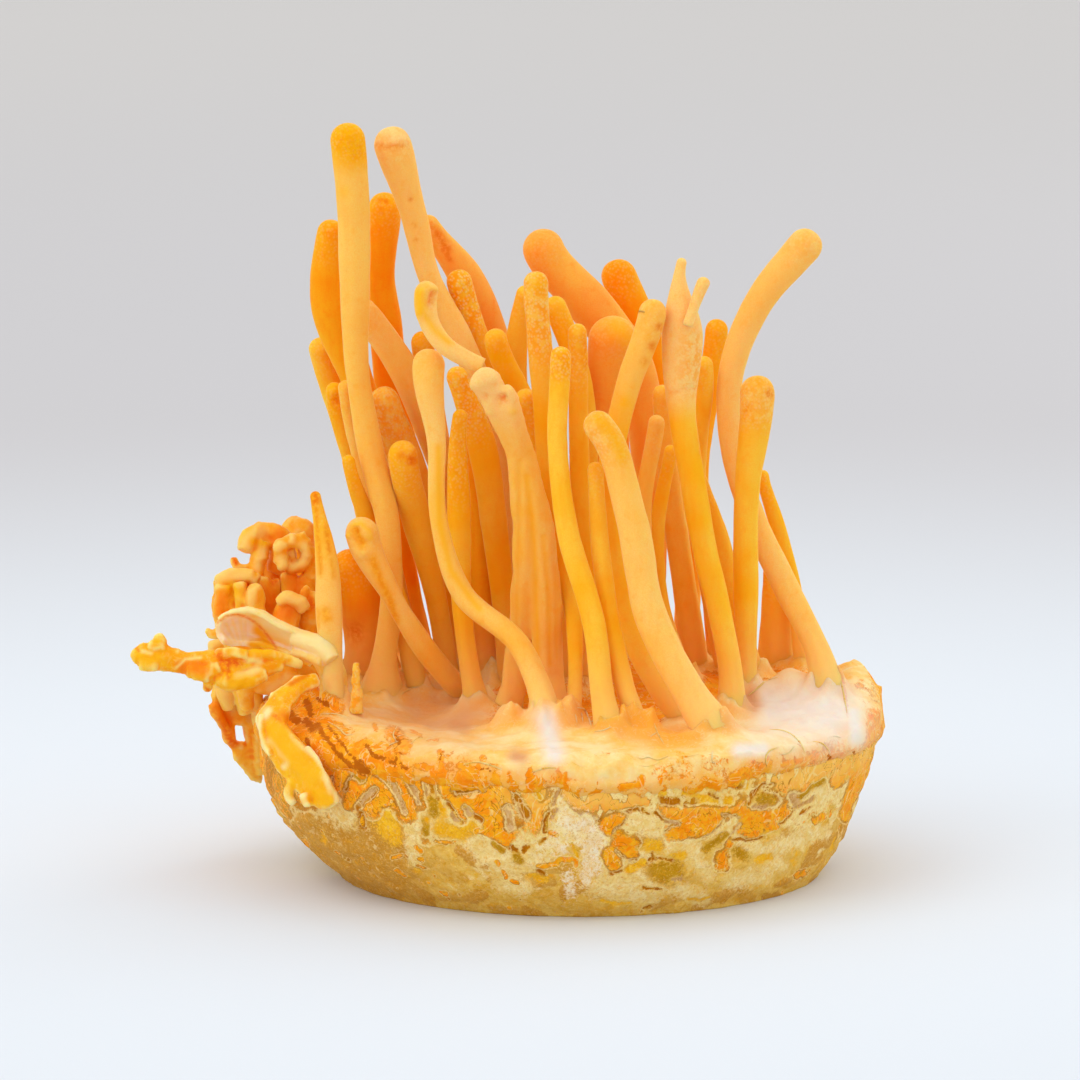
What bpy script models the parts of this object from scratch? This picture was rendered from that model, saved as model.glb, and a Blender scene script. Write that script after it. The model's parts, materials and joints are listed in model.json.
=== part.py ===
"""A bunch of cultivated orange cordyceps standing on its cake of grown-through rice.

Lengths are in millimetres and are turned to metres where a mesh is made. x runs to the right, y away from
the viewer, z up. The origin is the middle of the flat patch that the cake rests on.

The fingers lean every way and are told apart best from the front, so they are laid out as seen from
there: how far across, how far up, how wide, and where it matters how deep in the bunch.
"""
import math

import bmesh
import bpy
import numpy as np
from mathutils import Vector
from mathutils.bvhtree import BVHTree

MM = 0.001
BUNCH_NAME = "cordyceps_bunch"

# ---- the gaze from the front that the layout below is written for
GAZE_TILT = math.radians(8.4)       # looked at slightly from above
GAZE_DISTANCE = 800.0
GAZE_AIM = (-5.33, 43.6)            # across and up of the point looked at
NEARLY_ZERO = 1e-6

# ---- clear space left between neighbours that touch in life
GAP = 0.35

# ---- the cake of rice: height and radius from the resting patch to the shoulder
CAKE_PROFILE = (
    (0.0, 30.7), (0.8, 32.4), (2.6, 34.2), (5.2, 35.9), (8.4, 37.4), (12.0, 38.8), (15.6, 40.0), (18.6, 40.9),
)
CAKE_SIDES = 32
CAKE_LEAN = -1.5                    # the shoulder's middle lies this far left of the base's
CAKE_LEAN_HEIGHT = 8.0              # and the lean is taken up below this height
CAKE_LUMP = 0.7                     # how far the side swells and sinks
CAKE_LUMP_WAVES = ((3, 0.7, 0.5), (5, 2.1, 0.3), (8, 4.0, 0.2))
CAKE_LEFT_SWELL = 2.2               # the left side flares out more than the right
CAKE_LEFT_SWELL_HEIGHT = 11.0
CAKE_LEFT_SWELL_REACH = 7.0
CAKE_LUMPS_FULL_HEIGHT = 7.0        # below this the lumps fade out towards the resting patch

# ---- the felt of mycelium over the cake
MAT_UNDERSIDE = CAKE_PROFILE[-1][0] + GAP
MAT_THICKNESS = 3.4
MAT_RADIUS = 41.5
MAT_EDGE_ROUNDING = 3.8             # width of the rolled edge
MAT_CREST = 0.3                     # the felt stands higher just inside the edge
MAT_CREST_RADIUS = 35.5
MAT_CREST_WIDTH = 4.0
MAT_RINGS = (0.17, 0.33, 0.48, 0.62, 0.74, 0.84, 0.91, 0.96, 0.99)
MAT_EDGE_HEIGHT = 0.9               # upright lowest strip of the rolled edge
# swellings and hollows: x, y, half width in x, half width in y, height
MAT_SWELLINGS = (
    (28.5, -3.0, 7.0, 10.0, 2.6),
    (37.0, 8.0, 5.0, 14.0, 1.6),
    (-4.0, -25.0, 4.5, 12.0, 0.7),
    (-19.5, -8.0, 6.5, 12.0, -1.6),
    (-27.0, -26.0, 8.0, 6.0, 1.0),
    (-33.0, -5.0, 5.0, 10.0, 1.0),
    (6.0, 20.0, 14.0, 12.0, 0.8),
    (38.2, 4.0, 3.4, 10.0, 4.4),
)

# ---- how a finger's solid is built up
FINGER_SIDES = 8
SLIM_FINGER_SIDES = 6
SLIM_WIDTH = 2.7                    # fingers that stay below this width have fewer sides
RING_SPACING = 8.5                  # along a finger, foot to head
FEWEST_RINGS = 4
HEAD_RINGS = ((0.95, 1.0), (0.32, 0.72))    # distance from the apex and radius, in head radii
PATH_SAMPLES = 26
FOOT_LIFT = 0.12                    # a little more room under a foot, because the mat is uneven
LOBE_RING_SPACING = 2.6
FOOT_CLEARING = 1.1                 # the second ring stands this many foot widths above the mat
ROOT_CLEARING = 0.33                # and this many root widths along, where a piece starts off the mat
ABOVE_ALL = 100.0                   # a height clear of the mat, from which it is felt for downwards

# ---- how the fingers make room for one another
SETTLING_ROUNDS = 260
SETTLING_STEP = 0.5
SETTLING_SPREAD = (0.1, 0.2, 0.4, 0.2, 0.1)
SETTLING_ROOM = 0.22                # spare room beyond the gap
SETTLING_REACH = 1.5                # pairs that come this near sideways are watched
FOOT_SEARCH_STEP = 0.1
FOOT_HOLD = 9.0                     # length above the mat over which a foot holds its finger

# Fingers from foot to tip. Each point: across, up, width, and where it is given, depth behind the middle.
# A foot needs no depth, because it stands on the mat; a hidden foot has its depth instead of its up.
FINGERS = {
    # left front
    "finger_tallest": (
        (-26.4, 22.4, 4.2), (-26.1, 28, 2.8), (-25.0, 38, 3.0, -1), (-25.4, 45, 3.0), (-26.6, 50, 3.5),
        (-27.8, 55, 3.6), (-28.7, 60, 3.3), (-29.6, 65, 3.1), (-30.0, 70, 3.3), (-30.0, 76, 4.1),
        (-30.0, 82, 4.3), (-30.3, 90, 4.2), (-30.5, 94.3, 4.7), (-31.0, 97, 4.6), (-31.3, 99.2, 4.4, -3)),
    "finger_spike": (
        (-32.4, 20.6, 3.0), (-33.1, 27, 2.7), (-33.4, 33, 3.5), (-33.7, 40, 3.1), (-34.3, 45, 2.5),
        (-35.1, 48.5, 1.7), (-35.4, 50.1, 1.3, -10)),
    "finger_spoon": (
        (-15.6, 22.6, 3.2), (-18.0, 26.4, 3.0, -1), (-21.2, 29.7, 3.1), (-24.0, 34, 2.9, -7), (-26.2, 38.5, 2.8),
        (-28.2, 42.5, 4.3), (-29.1, 44.8, 4.5), (-29.2, 46.5, 4.2, -10)),
    "finger_s_bend": (
        (-4.3, 18.0, 4.2), (-5.2, 24, 3.2, -20), (-6.9, 28.6, 3.0), (-9.6, 30.8, 2.9, -17), (-12.6, 33.1, 2.9),
        (-15.3, 36, 2.9, -14), (-17.6, 39.4, 2.8), (-18.6, 43.5, 2.4), (-18.9, 50, 2.3), (-19.0, 55, 2.5),
        (-19.5, 60, 2.8), (-20.2, 64, 4.0), (-20.2, 66.7, 4.4), (-20.0, 69, 4.2, -12)),
    "finger_pointed": (
        (-13.6, 20.9, 3.4), (-14.4, 25, 2.7), (-15.8, 31, 2.8), (-15.9, 35, 2.9), (-15.5, 40, 2.7),
        (-16.0, 45, 3.3), (-16.2, 50, 3.2), (-16.3, 55, 2.6), (-16.2, 58.5, 2.2), (-15.8, 61, 1.8, -7)),
    "finger_brown_scar": (
        (-17.6, None, 3.2, 11), (-18.2, 31, 2.7), (-19.7, 38, 3.0), (-21.1, 43.5, 3.5), (-22.5, 49, 4.2),
        (-23.4, 53, 4.2), (-23.8, 56.7, 3.8, -4)),
    "finger_behind_pointed": (
        (-9.2, 23.4, 3.0), (-9.8, 30, 3.0), (-10.5, 38, 3.2), (-11.2, 44, 3.4), (-12.2, 50, 3.9),
        (-13.0, 56, 4.0), (-14.4, 60.5, 3.7), (-15.9, 64.0, 3.2), (-16.8, 66.6, 2.6, -4)),
    "finger_behind_bend": (
        (-13.9, None, 2.6, 28), (-16.2, 42, 2.8), (-18.8, 56, 3.0), (-20.3, 65, 3.3), (-20.9, 69, 3.2),
        (-21.0, 71.2, 2.8, 9)),
    "finger_shaded_left": (
        (-11.9, None, 3.2, 9), (-12.6, 30, 3.1), (-13.2, 38, 3.0), (-13.6, 46, 2.9), (-14.0, 53, 2.6),
        (-14.5, 58.5, 2.1, 3)),
    "finger_thick_club": (
        (-16.6, None, 3.2, 19), (-17.5, 34, 3.0), (-19.4, 42, 3.6), (-21.4, 49, 4.4), (-23.3, 54.5, 4.8),
        (-24.7, 58.5, 4.7), (-25.9, 61.5, 4.2), (-26.4, 63.8, 3.8, 4)),
    "finger_pale_slip": (
        (-22.3, None, 2.4, 13), (-24.0, 36, 2.4), (-26.8, 47, 2.2), (-28.7, 52.5, 2.2), (-29.9, 57, 2.2),
        (-31.1, 62.5, 2.1), (-31.3, 64.8, 1.9, 1)),
    "finger_red_spot": (
        (-25.6, None, 2.4, 19), (-26.6, 38, 2.3), (-28.6, 47, 2.3), (-30.4, 53.5, 2.2), (-31.6, 58, 2.2),
        (-32.7, 62.5, 2.3), (-32.8, 64.5, 2.1, 5)),
    "finger_short_slip": (
        (-21.4, None, 2.6, 5), (-23.6, 33, 2.8, 3), (-25.7, 39, 2.8), (-27.6, 44, 2.6), (-28.5, 47, 2.4),
        (-29.6, 50.3, 2.2), (-30.7, 53.3, 1.9), (-31.0, 54.9, 1.6, -3)),
    "finger_far_left": (
        (-24.2, None, 3.0, 28), (-27.2, 40, 3.0), (-29.0, 50, 3.1), (-30.5, 56, 3.1), (-32.6, 62.5, 3.2),
        (-34.1, 67, 3.4), (-34.8, 70.5, 3.1, 16)),
    "finger_banana": (
        (-20.6, None, 3.4, 23), (-24.3, 44, 3.4), (-26.6, 56, 3.8), (-29.3, 64, 4.3), (-31.6, 69.5, 4.7),
        (-33.2, 74, 4.9), (-33.8, 78.5, 5.0), (-33.7, 81.8, 4.6), (-33.3, 84.4, 3.7), (-32.9, 86.2, 3.0, 9)),
    "finger_deep_orange": (
        (-15.8, None, 3.2, 32), (-18.4, 38, 3.3), (-21.6, 48, 3.7), (-24.9, 62, 4.3), (-25.8, 71, 4.4),
        (-26.5, 77, 4.1), (-26.8, 82, 4.1), (-26.1, 86.8, 4.5), (-26.0, 89.8, 4.2, 13)),
    "finger_pale_diagonal": (
        (-12.4, None, 3.2, 23), (-13.8, 38, 3.3), (-16.2, 48, 3.6), (-19.5, 57, 3.9), (-23.0, 65.5, 4.0),
        (-26.0, 70.3, 4.0), (-28.4, 73.4, 3.9), (-30.0, 75.2, 3.6, 5)),
    "finger_flat_topped": (
        (-6.4, None, 3.2, 11), (-7.5, 34, 3.2), (-9.5, 45, 3.2), (-11.6, 57, 3.2), (-13.4, 65, 3.1),
        (-14.8, 68.5, 3.1), (-16.4, 71.5, 3.1), (-18.2, 75, 3.0), (-19.9, 78, 2.9), (-20.9, 81, 3.0),
        (-21.9, 85, 3.3), (-22.8, 90, 3.7), (-23.8, 93.2, 4.2), (-24.8, 95.6, 4.9), (-25.3, 97.3, 5.1),
        (-25.6, 98.6, 4.9, 1)),
    "finger_fat_diagonal": (
        (-4.2, None, 3.2, 32), (-5.4, 38, 3.3), (-7.8, 50, 3.6), (-9.9, 62, 4.0), (-11.6, 70, 4.4),
        (-13.3, 75, 4.7), (-15.3, 78.9, 4.6), (-17.6, 82.0, 4.2), (-19.7, 84.7, 3.3), (-21.0, 86.6, 2.3, 9)),
    "finger_grainy_left": (
        (-9.8, None, 3.0, 16), (-9.6, 38, 3.0), (-10.6, 50, 3.0), (-11.8, 60, 3.0), (-12.9, 67, 3.1),
        (-13.8, 71, 3.2), (-14.9, 75, 3.3), (-16.1, 77.8, 3.3), (-16.4, 79.5, 3.0, 5)),
    "finger_hooked_branch": (
        (-14.6, 67.5, 2.2, -14), (-15.9, 68.1, 2.4), (-17.6, 69.2, 2.5), (-19.3, 71.0, 2.6), (-20.3, 73.2, 2.8),
        (-20.6, 75.4, 3.1), (-20.4, 76.8, 3.1), (-19.9, 78.0, 2.8, -13)),
    "finger_thick_arch": (
        (-29.6, None, 4.8, 11), (-28.6, 30, 5.4), (-28.8, 34, 6.2), (-29.6, 37.4, 6.2), (-31.0, 40.2, 5.2),
        (-32.2, 41.8, 4.2, 8)),
    # middle
    "finger_grainy_middle": (
        (-1.0, 18.2, 2.4), (-0.7, 24, 1.9, -16), (-0.6, 31, 2.3), (-1.5, 38, 2.6, -5), (-3.0, 45, 2.8),
        (-4.5, 55, 2.9), (-4.7, 60, 3.0), (-5.0, 65, 3.1), (-5.4, 70, 3.2), (-5.9, 75, 3.3),
        (-5.8, 79.4, 3.1, -8)),
    "finger_grainy_front": (
        (4.2, 17.0, 4.0), (3.2, 22, 3.2), (2.4, 28, 3.0), (1.6, 34, 3.0), (0.0, 40, 2.9), (-2.0, 46, 2.8),
        (-2.8, 52, 2.7), (-2.9, 60, 2.7), (-2.6, 67, 2.8), (-2.6, 69.4, 2.5, -16)),
    "finger_straight_middle": (
        (1.2, 22.8, 2.6), (1.3, 30, 2.5), (1.0, 38, 2.6), (0.4, 46, 2.6), (0.0, 52, 2.6), (-0.2, 60, 2.6),
        (-0.3, 70, 2.7), (-0.4, 72.4, 2.4, -6)),
    "finger_great_arch": (
        (18.2, 17.3, 5.0), (16.3, 20.7, 4.3), (13.2, 25, 4.3), (10.8, 30, 4.3), (9.0, 35, 4.3), (8.0, 40, 4.2),
        (7.2, 45, 4.2), (6.0, 50, 4.1), (4.6, 55, 4.2), (2.9, 58.3, 4.3), (1.1, 60.3, 4.0, -20)),
    "finger_long_bow": (
        (14.6, 18.9, 3.8), (12.6, 21.6, 3.6), (9.8, 25.5, 3.6), (7.5, 30, 3.5), (5.8, 35, 3.5), (4.8, 40, 3.4),
        (4.0, 45, 3.2, -14), (3.9, 52, 3.1), (4.9, 59.5, 3.2), (6.4, 64, 3.3), (8.2, 68.5, 3.5),
        (9.4, 72.5, 3.8), (10.0, 75.7, 3.5, -12)),
    "finger_low_slip": (
        (8.5, 17.2, 3.0), (7.3, 20.3, 2.7), (6.3, 23, 2.6), (5.2, 27, 2.6), (4.2, 32, 2.6), (3.3, 38, 2.6),
        (2.4, 46, 2.4), (2.0, 54, 2.1, -17)),
    "finger_pale_short": (
        (11.8, None, 2.6, 3), (9.6, 34, 2.4), (8.6, 44, 2.4), (8.5, 51, 2.3), (9.2, 54.5, 2.3), (10.1, 58.5, 2.3),
        (10.3, 60.2, 2.0, -5)),
    "finger_thin_shaded": (
        (14.6, None, 2.2, 10), (11.8, 32, 2.1), (10.1, 40, 2.1), (10.4, 46, 2.0), (11.4, 51, 2.0),
        (12.2, 56.2, 1.7, 2)),
    "finger_behind_fork": (
        (15.6, None, 3.2, 19), (14.8, 32, 3.3), (13.2, 42, 3.0), (11.6, 55, 2.9), (11.0, 62, 2.7),
        (10.9, 64.2, 2.4, 9)),
    "finger_ball_headed": (
        (2.8, None, 3.4, 21), (3.2, 38, 3.4), (2.6, 50, 3.6), (2.8, 61, 4.0), (3.5, 65, 5.2), (4.2, 68.8, 6.3),
        (4.4, 71, 6.2), (4.5, 73.3, 5.6, 10)),
    "finger_fat_blurred": (
        (8.8, None, 4.0, 28), (9.4, 40, 4.3), (9.4, 52, 4.9), (7.9, 64, 5.0), (5.9, 69.6, 5.3), (2.8, 73.5, 5.7),
        (-0.3, 76.6, 5.9), (-2.9, 79.6, 5.9), (-4.8, 82.3, 5.5), (-5.6, 84.9, 4.7, 18)),
    "finger_back_tip": (
        (14.0, None, 3.2, 31), (14.4, 40, 3.4), (12.4, 54, 3.7), (9.8, 66, 4.1), (8.2, 73, 4.5), (6.9, 76.0, 4.7),
        (5.2, 78.7, 4.7), (4.3, 80.8, 4.3, 25)),
    "finger_pale_behind": (
        (0.4, None, 3.0, 15), (0.5, 38, 3.0), (0.9, 52, 3.0), (0.2, 64, 3.0), (-1.5, 70.5, 3.1), (-3.0, 74, 3.1),
        (-3.8, 76, 2.8, 6)),
    "finger_leaning_small": (
        (-8.4, None, 2.8, 24), (-7.6, 40, 2.8), (-8.0, 52, 3.0), (-8.7, 64, 3.3), (-8.5, 70, 3.3), (-8.1, 73.2, 2.9),
        (-7.6, 75.6, 2.4), (-7.1, 77.4, 1.9, 5)),
    "finger_yellow_band": (
        (-4.0, None, 3.0, 17), (-3.2, 34, 3.0), (-4.0, 45, 3.0), (-5.4, 55, 3.2), (-7.2, 61, 3.2), (-8.6, 64, 3.3),
        (-10.1, 67, 3.3), (-11.2, 70, 3.3), (-11.5, 71.6, 3.0, 0)),
    "finger_tucked": (
        (-2.2, None, 2.8, 7), (-1.5, 34, 2.8), (-2.2, 44, 2.8, 3), (-4.2, 54, 3.0), (-5.7, 58.7, 3.1),
        (-6.9, 61.6, 3.2), (-7.6, 63.6, 2.8, -3)),
    # right
    "finger_forked": (
        (20.2, 19.7, 4.0), (20.1, 26, 3.0), (19.4, 30, 3.0), (18.4, 35, 3.1), (17.3, 39.5, 3.2), (16.5, 43, 3.3),
        (15.5, 48, 3.4), (14.8, 53, 3.4), (13.9, 58, 3.5), (13.4, 63, 4.1), (13.6, 67, 5.2), (13.6, 71, 5.3),
        (13.6, 73.4, 4.4), (13.2, 75.2, 2.9), (12.9, 76.7, 1.8), (13.1, 78.8, 1.6), (13.7, 81.2, 1.3, -10)),
    "finger_fork_prong": (
        (14.9, 73.8, 1.4, -13.2), (15.4, 75.2, 1.5), (16.0, 76.8, 1.7), (16.8, 78.6, 1.9, -12.4)),
    "finger_right_club": (
        (22.3, 21.9, 3.3), (22.3, 25.5, 2.8), (22.4, 29, 2.8), (22.4, 33, 3.2), (22.1, 38, 3.4), (21.9, 43, 3.3),
        (22.1, 48, 3.3), (22.5, 53, 3.6), (23.2, 58, 4.3), (23.7, 62.7, 4.7), (23.7, 65.5, 4.4, -8)),
    "finger_far_right": (
        (33.0, 22.9, 4.6), (32.3, 27, 3.6), (30.5, 31, 3.4), (28.5, 35, 3.4), (26.4, 39.5, 3.4), (24.2, 44, 3.3),
        (22.0, 49.5, 3.2, 4), (20.7, 54, 3.1), (20.0, 58, 3.1), (19.9, 62, 3.2), (20.1, 66, 3.3),
        (21.0, 70, 3.4), (22.8, 73.8, 3.7), (25.4, 77.2, 4.1), (28.4, 80.9, 4.6), (31.4, 84.6, 4.4, 5)),
    "finger_red_tip": (
        (18.4, None, 2.8, 27), (17.6, 38, 2.8), (15.7, 50, 2.8), (16.8, 62, 3.0), (18.1, 70, 3.2),
        (18.3, 73.0, 2.9, 18)),
    "finger_narrow_right": (
        (19.6, None, 2.5, 17), (18.2, 32, 2.4), (16.3, 43, 2.3), (15.3, 52, 2.2), (15.9, 57, 2.2), (16.7, 62, 2.3),
        (16.8, 65.5, 2.4), (16.4, 68, 2.2, 3)),
    "finger_between_right": (
        (23.6, None, 3.0, 12), (21.6, 31, 2.8), (20.4, 36, 2.8), (19.0, 42, 2.8), (17.8, 46, 2.6), (16.5, 49.6, 2.4),
        (15.6, 52.4, 2.1, 7)),
    "finger_thin_right": (
        (30.0, None, 2.4, 16), (28.9, 34, 2.2), (28.1, 39, 2.2), (26.3, 45.5, 2.1), (24.7, 50.5, 1.9),
        (24.2, 52.9, 1.6, 14)),
    "finger_stub_right": (
        (26.0, None, 4.2, 20), (26.2, 29.5, 4.6), (26.3, 34, 4.2), (25.9, 38, 3.2), (25.7, 40.4, 2.4, 17)),
    "finger_back_middle": (
        (2.6, None, 3.4, 32), (4.0, 38, 3.3), (4.9, 48, 3.4), (5.0, 56, 3.6), (4.6, 60.5, 3.2, 28)),
}

# The broad front finger is two strands grown together from above the feet to the knobbed head.
FUSED_STRANDS = (
    ((-9.8, 21.3, 3.0), (-8.4, 26, 3.2), (-7.5, 31, 3.8), (-7.4, 38, 3.9), (-7.3, 44, 3.7), (-7.1, 49, 3.2),
     (-7.6, 53.5, 3.2), (-9.2, 57.7, 3.6), (-10.9, 61.3, 4.6), (-12.2, 63.8, 4.6), (-13.0, 66.2, 4.0, -14)),
    ((-4.2, 20.6, 4.6), (-4.2, 26, 4.3), (-4.4, 33, 4.2), (-4.7, 40, 4.4), (-5.2, 45, 4.0), (-6.3, 50, 3.2),
     (-7.3, 54.5, 3.2), (-8.8, 58.3, 3.4), (-9.9, 61.2, 3.8), (-9.7, 63.8, 3.0, -14)),
)
FUSED_NAME = "finger_broad_fused"
FUSED_FLATNESS = 0.78
FUSED_SIDES = 8

# ---- misgrown lobes of the left edge
ANTLER = (
    (-39.8, 27.4, 2.2, -12.5), (-42.0, 27.2, 3.6, -13), (-45.5, 26.6, 5.1, -13.5), (-48.5, 26.6, 4.8, -14),
    (-51.0, 27.0, 3.6, -14), (-52.9, 27.2, 2.9, -14), (-55.0, 27.9, 3.5, -14), (-57.6, 28.2, 3.7, -14),
    (-59.9, 28.2, 2.8, -14),
)
ANTLER_KNOBS = (
    ((-55.6, 28.6, 1.6, -14), (-56.0, 30.0, 1.7, -14), (-56.2, 31.2, 1.3, -14)),
    ((-49.6, 25.2, 1.4, -14), (-49.7, 24.1, 1.4, -14), (-49.7, 23.2, 1.2, -14)),
)
ANTLER_FLATNESS = 0.6

CURLED = {
    "lobe_curled_crest": (
        (-39.6, 25.4, 4.0, 8), (-41.6, 33, 5.0, 9), (-41.2, 37, 5.0, 10), (-40.6, 40.4, 4.4, 10),
        (-40.4, 43.2, 3.5, 9.5), (-42.2, 44.6, 3.1, 8), (-44.1, 43.7, 2.8, 6), (-44.6, 41.9, 2.2, 5)),
    "lobe_curled_ring": (
        (-37.0, 26.2, 3.0, 3), (-37.6, 31, 2.8, 4), (-36.5, 36, 2.6, 4.5), (-35.9, 40, 2.4, 4),
        (-36.2, 42.6, 2.3, 3.5), (-37.9, 44.1, 2.2, 3), (-39.6, 43.2, 2.1, 2.5), (-40.1, 41.0, 1.9, 2),
        (-39.2, 39.5, 1.6, 1.5)),
    "lobe_pale_knob": (
        (-34.0, 26.4, 3.2, 14), (-35.6, 36, 3.4, 16), (-37.2, 41.5, 4.2, 17), (-37.7, 44.8, 4.6, 17),
        (-37.8, 47.0, 3.8, 17)),
    "lobe_left_hood": (
        (-42.2, 25.4, 4.2, 1), (-44.6, 30, 5.6, 1.5), (-46.3, 34, 5.9, 2), (-46.3, 36.6, 5.6, 2.5),
        (-46.1, 38.4, 4.8, 3), (-45.8, 39.6, 3.4, 3.5)),

    "lobe_middle_fold": (
        (-39.4, 25.4, 3.6, -3), (-39.8, 30, 3.8, -2.5), (-39.2, 33.5, 3.8, -2), (-38.6, 36.2, 3.2, -1.5)),
}
CURLED_FLATNESS = 0.8
# Smaller folds that grow out of a curled lobe.
SIDE_FOLDS = {
    "lobe_curled_ring": (
        (-37.2, 27.4, 2.4, 2.6), (-36.2, 30.6, 2.4, 0.6), (-36.0, 34.2, 2.6, -0.6), (-36.0, 36.8, 2.1, -1)),
    "lobe_left_hood": (
        (-43.0, 27.6, 2.8, 0.6), (-43.2, 31.4, 2.9, -1.2), (-43.3, 35, 2.9, -1.8), (-43.3, 37.8, 2.3, -1.8)),
    "lobe_middle_fold": (
        (-43.4, 24.8, 2.6, -5), (-41.2, 24.7, 3.4, -4.6), (-38.6, 24.4, 3.6, -4.6), (-36.4, 23.8, 3.0, -5)),
}

# Ribbons that curl: rows across the ribbon, each point across, up and depth.
EAR_ROWS = (
    ((-35.9, 31.0, -11.5), (-35.9, 29.4, -10.6), (-35.9, 28.0, -10.6), (-35.9, 26.9, -11.6)),
    ((-38.0, 31.7, -11.4), (-38.0, 30.1, -9.8), (-38.0, 28.6, -9.4), (-38.1, 27.9, -11.0)),
    ((-40.2, 32.7, -11.4), (-40.4, 31.2, -8.8), (-40.4, 29.4, -7.9), (-40.4, 28.7, -9.9)),
    ((-42.2, 33.9, -11.4), (-42.6, 32.3, -8.2), (-42.6, 30.4, -7.0), (-42.6, 29.6, -9.4)),
    ((-44.3, 34.4, -11.3), (-44.8, 32.8, -8.0), (-44.8, 30.9, -6.9), (-44.6, 29.7, -9.4)),
    ((-46.4, 34.0, -11.2), (-46.9, 32.6, -8.4), (-46.9, 31.0, -7.6), (-46.4, 29.8, -9.6)),
    ((-48.0, 33.1, -11.2), (-48.4, 32.0, -9.4), (-48.2, 31.0, -9.0), (-47.6, 30.1, -10.2)),
)
LEAF_ROWS = (
    ((-35.4, 25.6, -13.5), (-35.2, 24.9, -14.2), (-35.0, 24.2, -14.2)),
    ((-38.2, 25.0, -16.5), (-37.6, 24.1, -17.0), (-37.0, 23.2, -17.0)),
    ((-41.0, 22.7, -19.3), (-39.8, 22.0, -20.4), (-38.6, 21.2, -20.6)),
    ((-42.9, 19.6, -20.5), (-41.2, 19.3, -22.2), (-39.3, 19.2, -23.2)),
    ((-41.9, 15.7, -22.4), (-39.8, 16.3, -24.4), (-37.6, 16.9, -25.6)),
    ((-40.0, 12.9, -24.6), (-37.8, 13.6, -26.8), (-35.5, 14.6, -28.2)),
    ((-37.1, 9.9, -27.4), (-35.2, 10.9, -29.2), (-33.6, 11.8, -30.4)),
    ((-34.4, 7.7, -29.6), (-33.4, 8.0, -30.6), (-32.5, 8.7, -31.4)),
)
FRINGE_ROWS = (
    ((-49.4, 29.8, 6.5), (-47.8, 30.4, 6.5), (-46.2, 30.4, 7.0), (-44.8, 29.8, 7.5)),
    ((-48.6, 25.0, 6.5), (-46.4, 25.4, 7.0), (-44.2, 25.6, 8.0), (-42.4, 25.2, 9.0)),
    ((-49.2, 22.4, 6.5), (-47.2, 22.2, 7.5), (-45.0, 21.9, 8.5), (-42.9, 21.4, 9.5)),
    ((-47.8, 19.6, 8.0), (-46.4, 19.4, 8.5), (-44.9, 19.0, 9.0), (-43.2, 18.7, 9.5)),
    ((-47.4, 17.2, 9.0), (-46.0, 16.7, 9.5), (-44.3, 16.2, 10.0), (-43.0, 15.8, 10.5)),
    ((-46.0, 14.6, 10.5), (-44.9, 14.2, 11.0), (-43.9, 13.8, 11.5), (-42.8, 13.4, 12.0)),
    ((-43.7, 12.2, 13.0), (-43.3, 12.0, 13.2), (-42.9, 11.9, 13.4), (-42.5, 11.8, 13.6)),
)
FRINGE_HOLE = (3, 1)                # row and column of the face left open
RIBBON_THICKNESS = 0.9
LEAF_THICKNESS = 1.3
FRINGE_THICKNESS = 1.5

# ---- colours, as sRGB hex
PALE_PEACH = "FFBE72"
PEACH_ORANGE = "FFA94A"
BRIGHT_ORANGE = "FB9A2C"
DEEP_ORANGE = "EE7414"
GLOSSY_ORANGE = "FFA000"
RICE_KHAKI = "CFA65A"
FELT_CREAM = "FBDDA0"
FELT_ROUGHNESS = 0.85
FLESH_ROUGHNESS = 0.7
GLOSSY_ROUGHNESS = 0.3
RICE_ROUGHNESS = 0.6

DEEP_FINGERS = (
    "finger_banana", "finger_deep_orange", "finger_fat_diagonal", "finger_red_tip", "finger_back_tip",
    "finger_ball_headed", "finger_thick_arch", "finger_fat_blurred", "finger_back_middle",
)
PALE_FINGERS = (
    "finger_great_arch", "finger_s_bend", "finger_pale_slip", "finger_pale_diagonal", "finger_far_right",
    "finger_spoon", "finger_hooked_branch", "finger_pale_short", "finger_broad_fused", "finger_flat_topped",
)


def clear_scene():
    for item in list(bpy.data.objects):
        bpy.data.objects.remove(item, do_unlink=True)


def linear_colour(hex_code):
    channels = [int(hex_code[place:place + 2], 16) / 255.0 for place in (0, 2, 4)]
    return [c / 12.92 if c <= 0.04045 else ((c + 0.055) / 1.055) ** 2.4 for c in channels] + [1.0]


def surface(name, hex_code, roughness):
    material = bpy.data.materials.new(name)
    material.use_nodes = True
    shader = material.node_tree.nodes["Principled BSDF"]
    shader.inputs["Base Color"].default_value = linear_colour(hex_code)
    shader.inputs["Roughness"].default_value = roughness
    shader.inputs["Metallic"].default_value = 0.0
    return material


def new_object(name, points, faces, material, collection):
    """A mesh object from points in millimetres, faces turned outward."""
    mesh = bpy.data.meshes.new(name)
    mesh.from_pydata([tuple(c * MM for c in point) for point in points], [], faces)
    mesh.update()
    work = bmesh.new()
    work.from_mesh(mesh)
    bmesh.ops.recalc_face_normals(work, faces=work.faces)
    work.to_mesh(mesh)
    work.free()
    mesh.polygons.foreach_set("use_smooth", [True] * len(mesh.polygons))
    mesh.materials.append(material)
    item = bpy.data.objects.new(name, mesh)
    collection.objects.link(item)
    return item


# ---------------------------------------------------------------- the layout seen from the front

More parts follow.
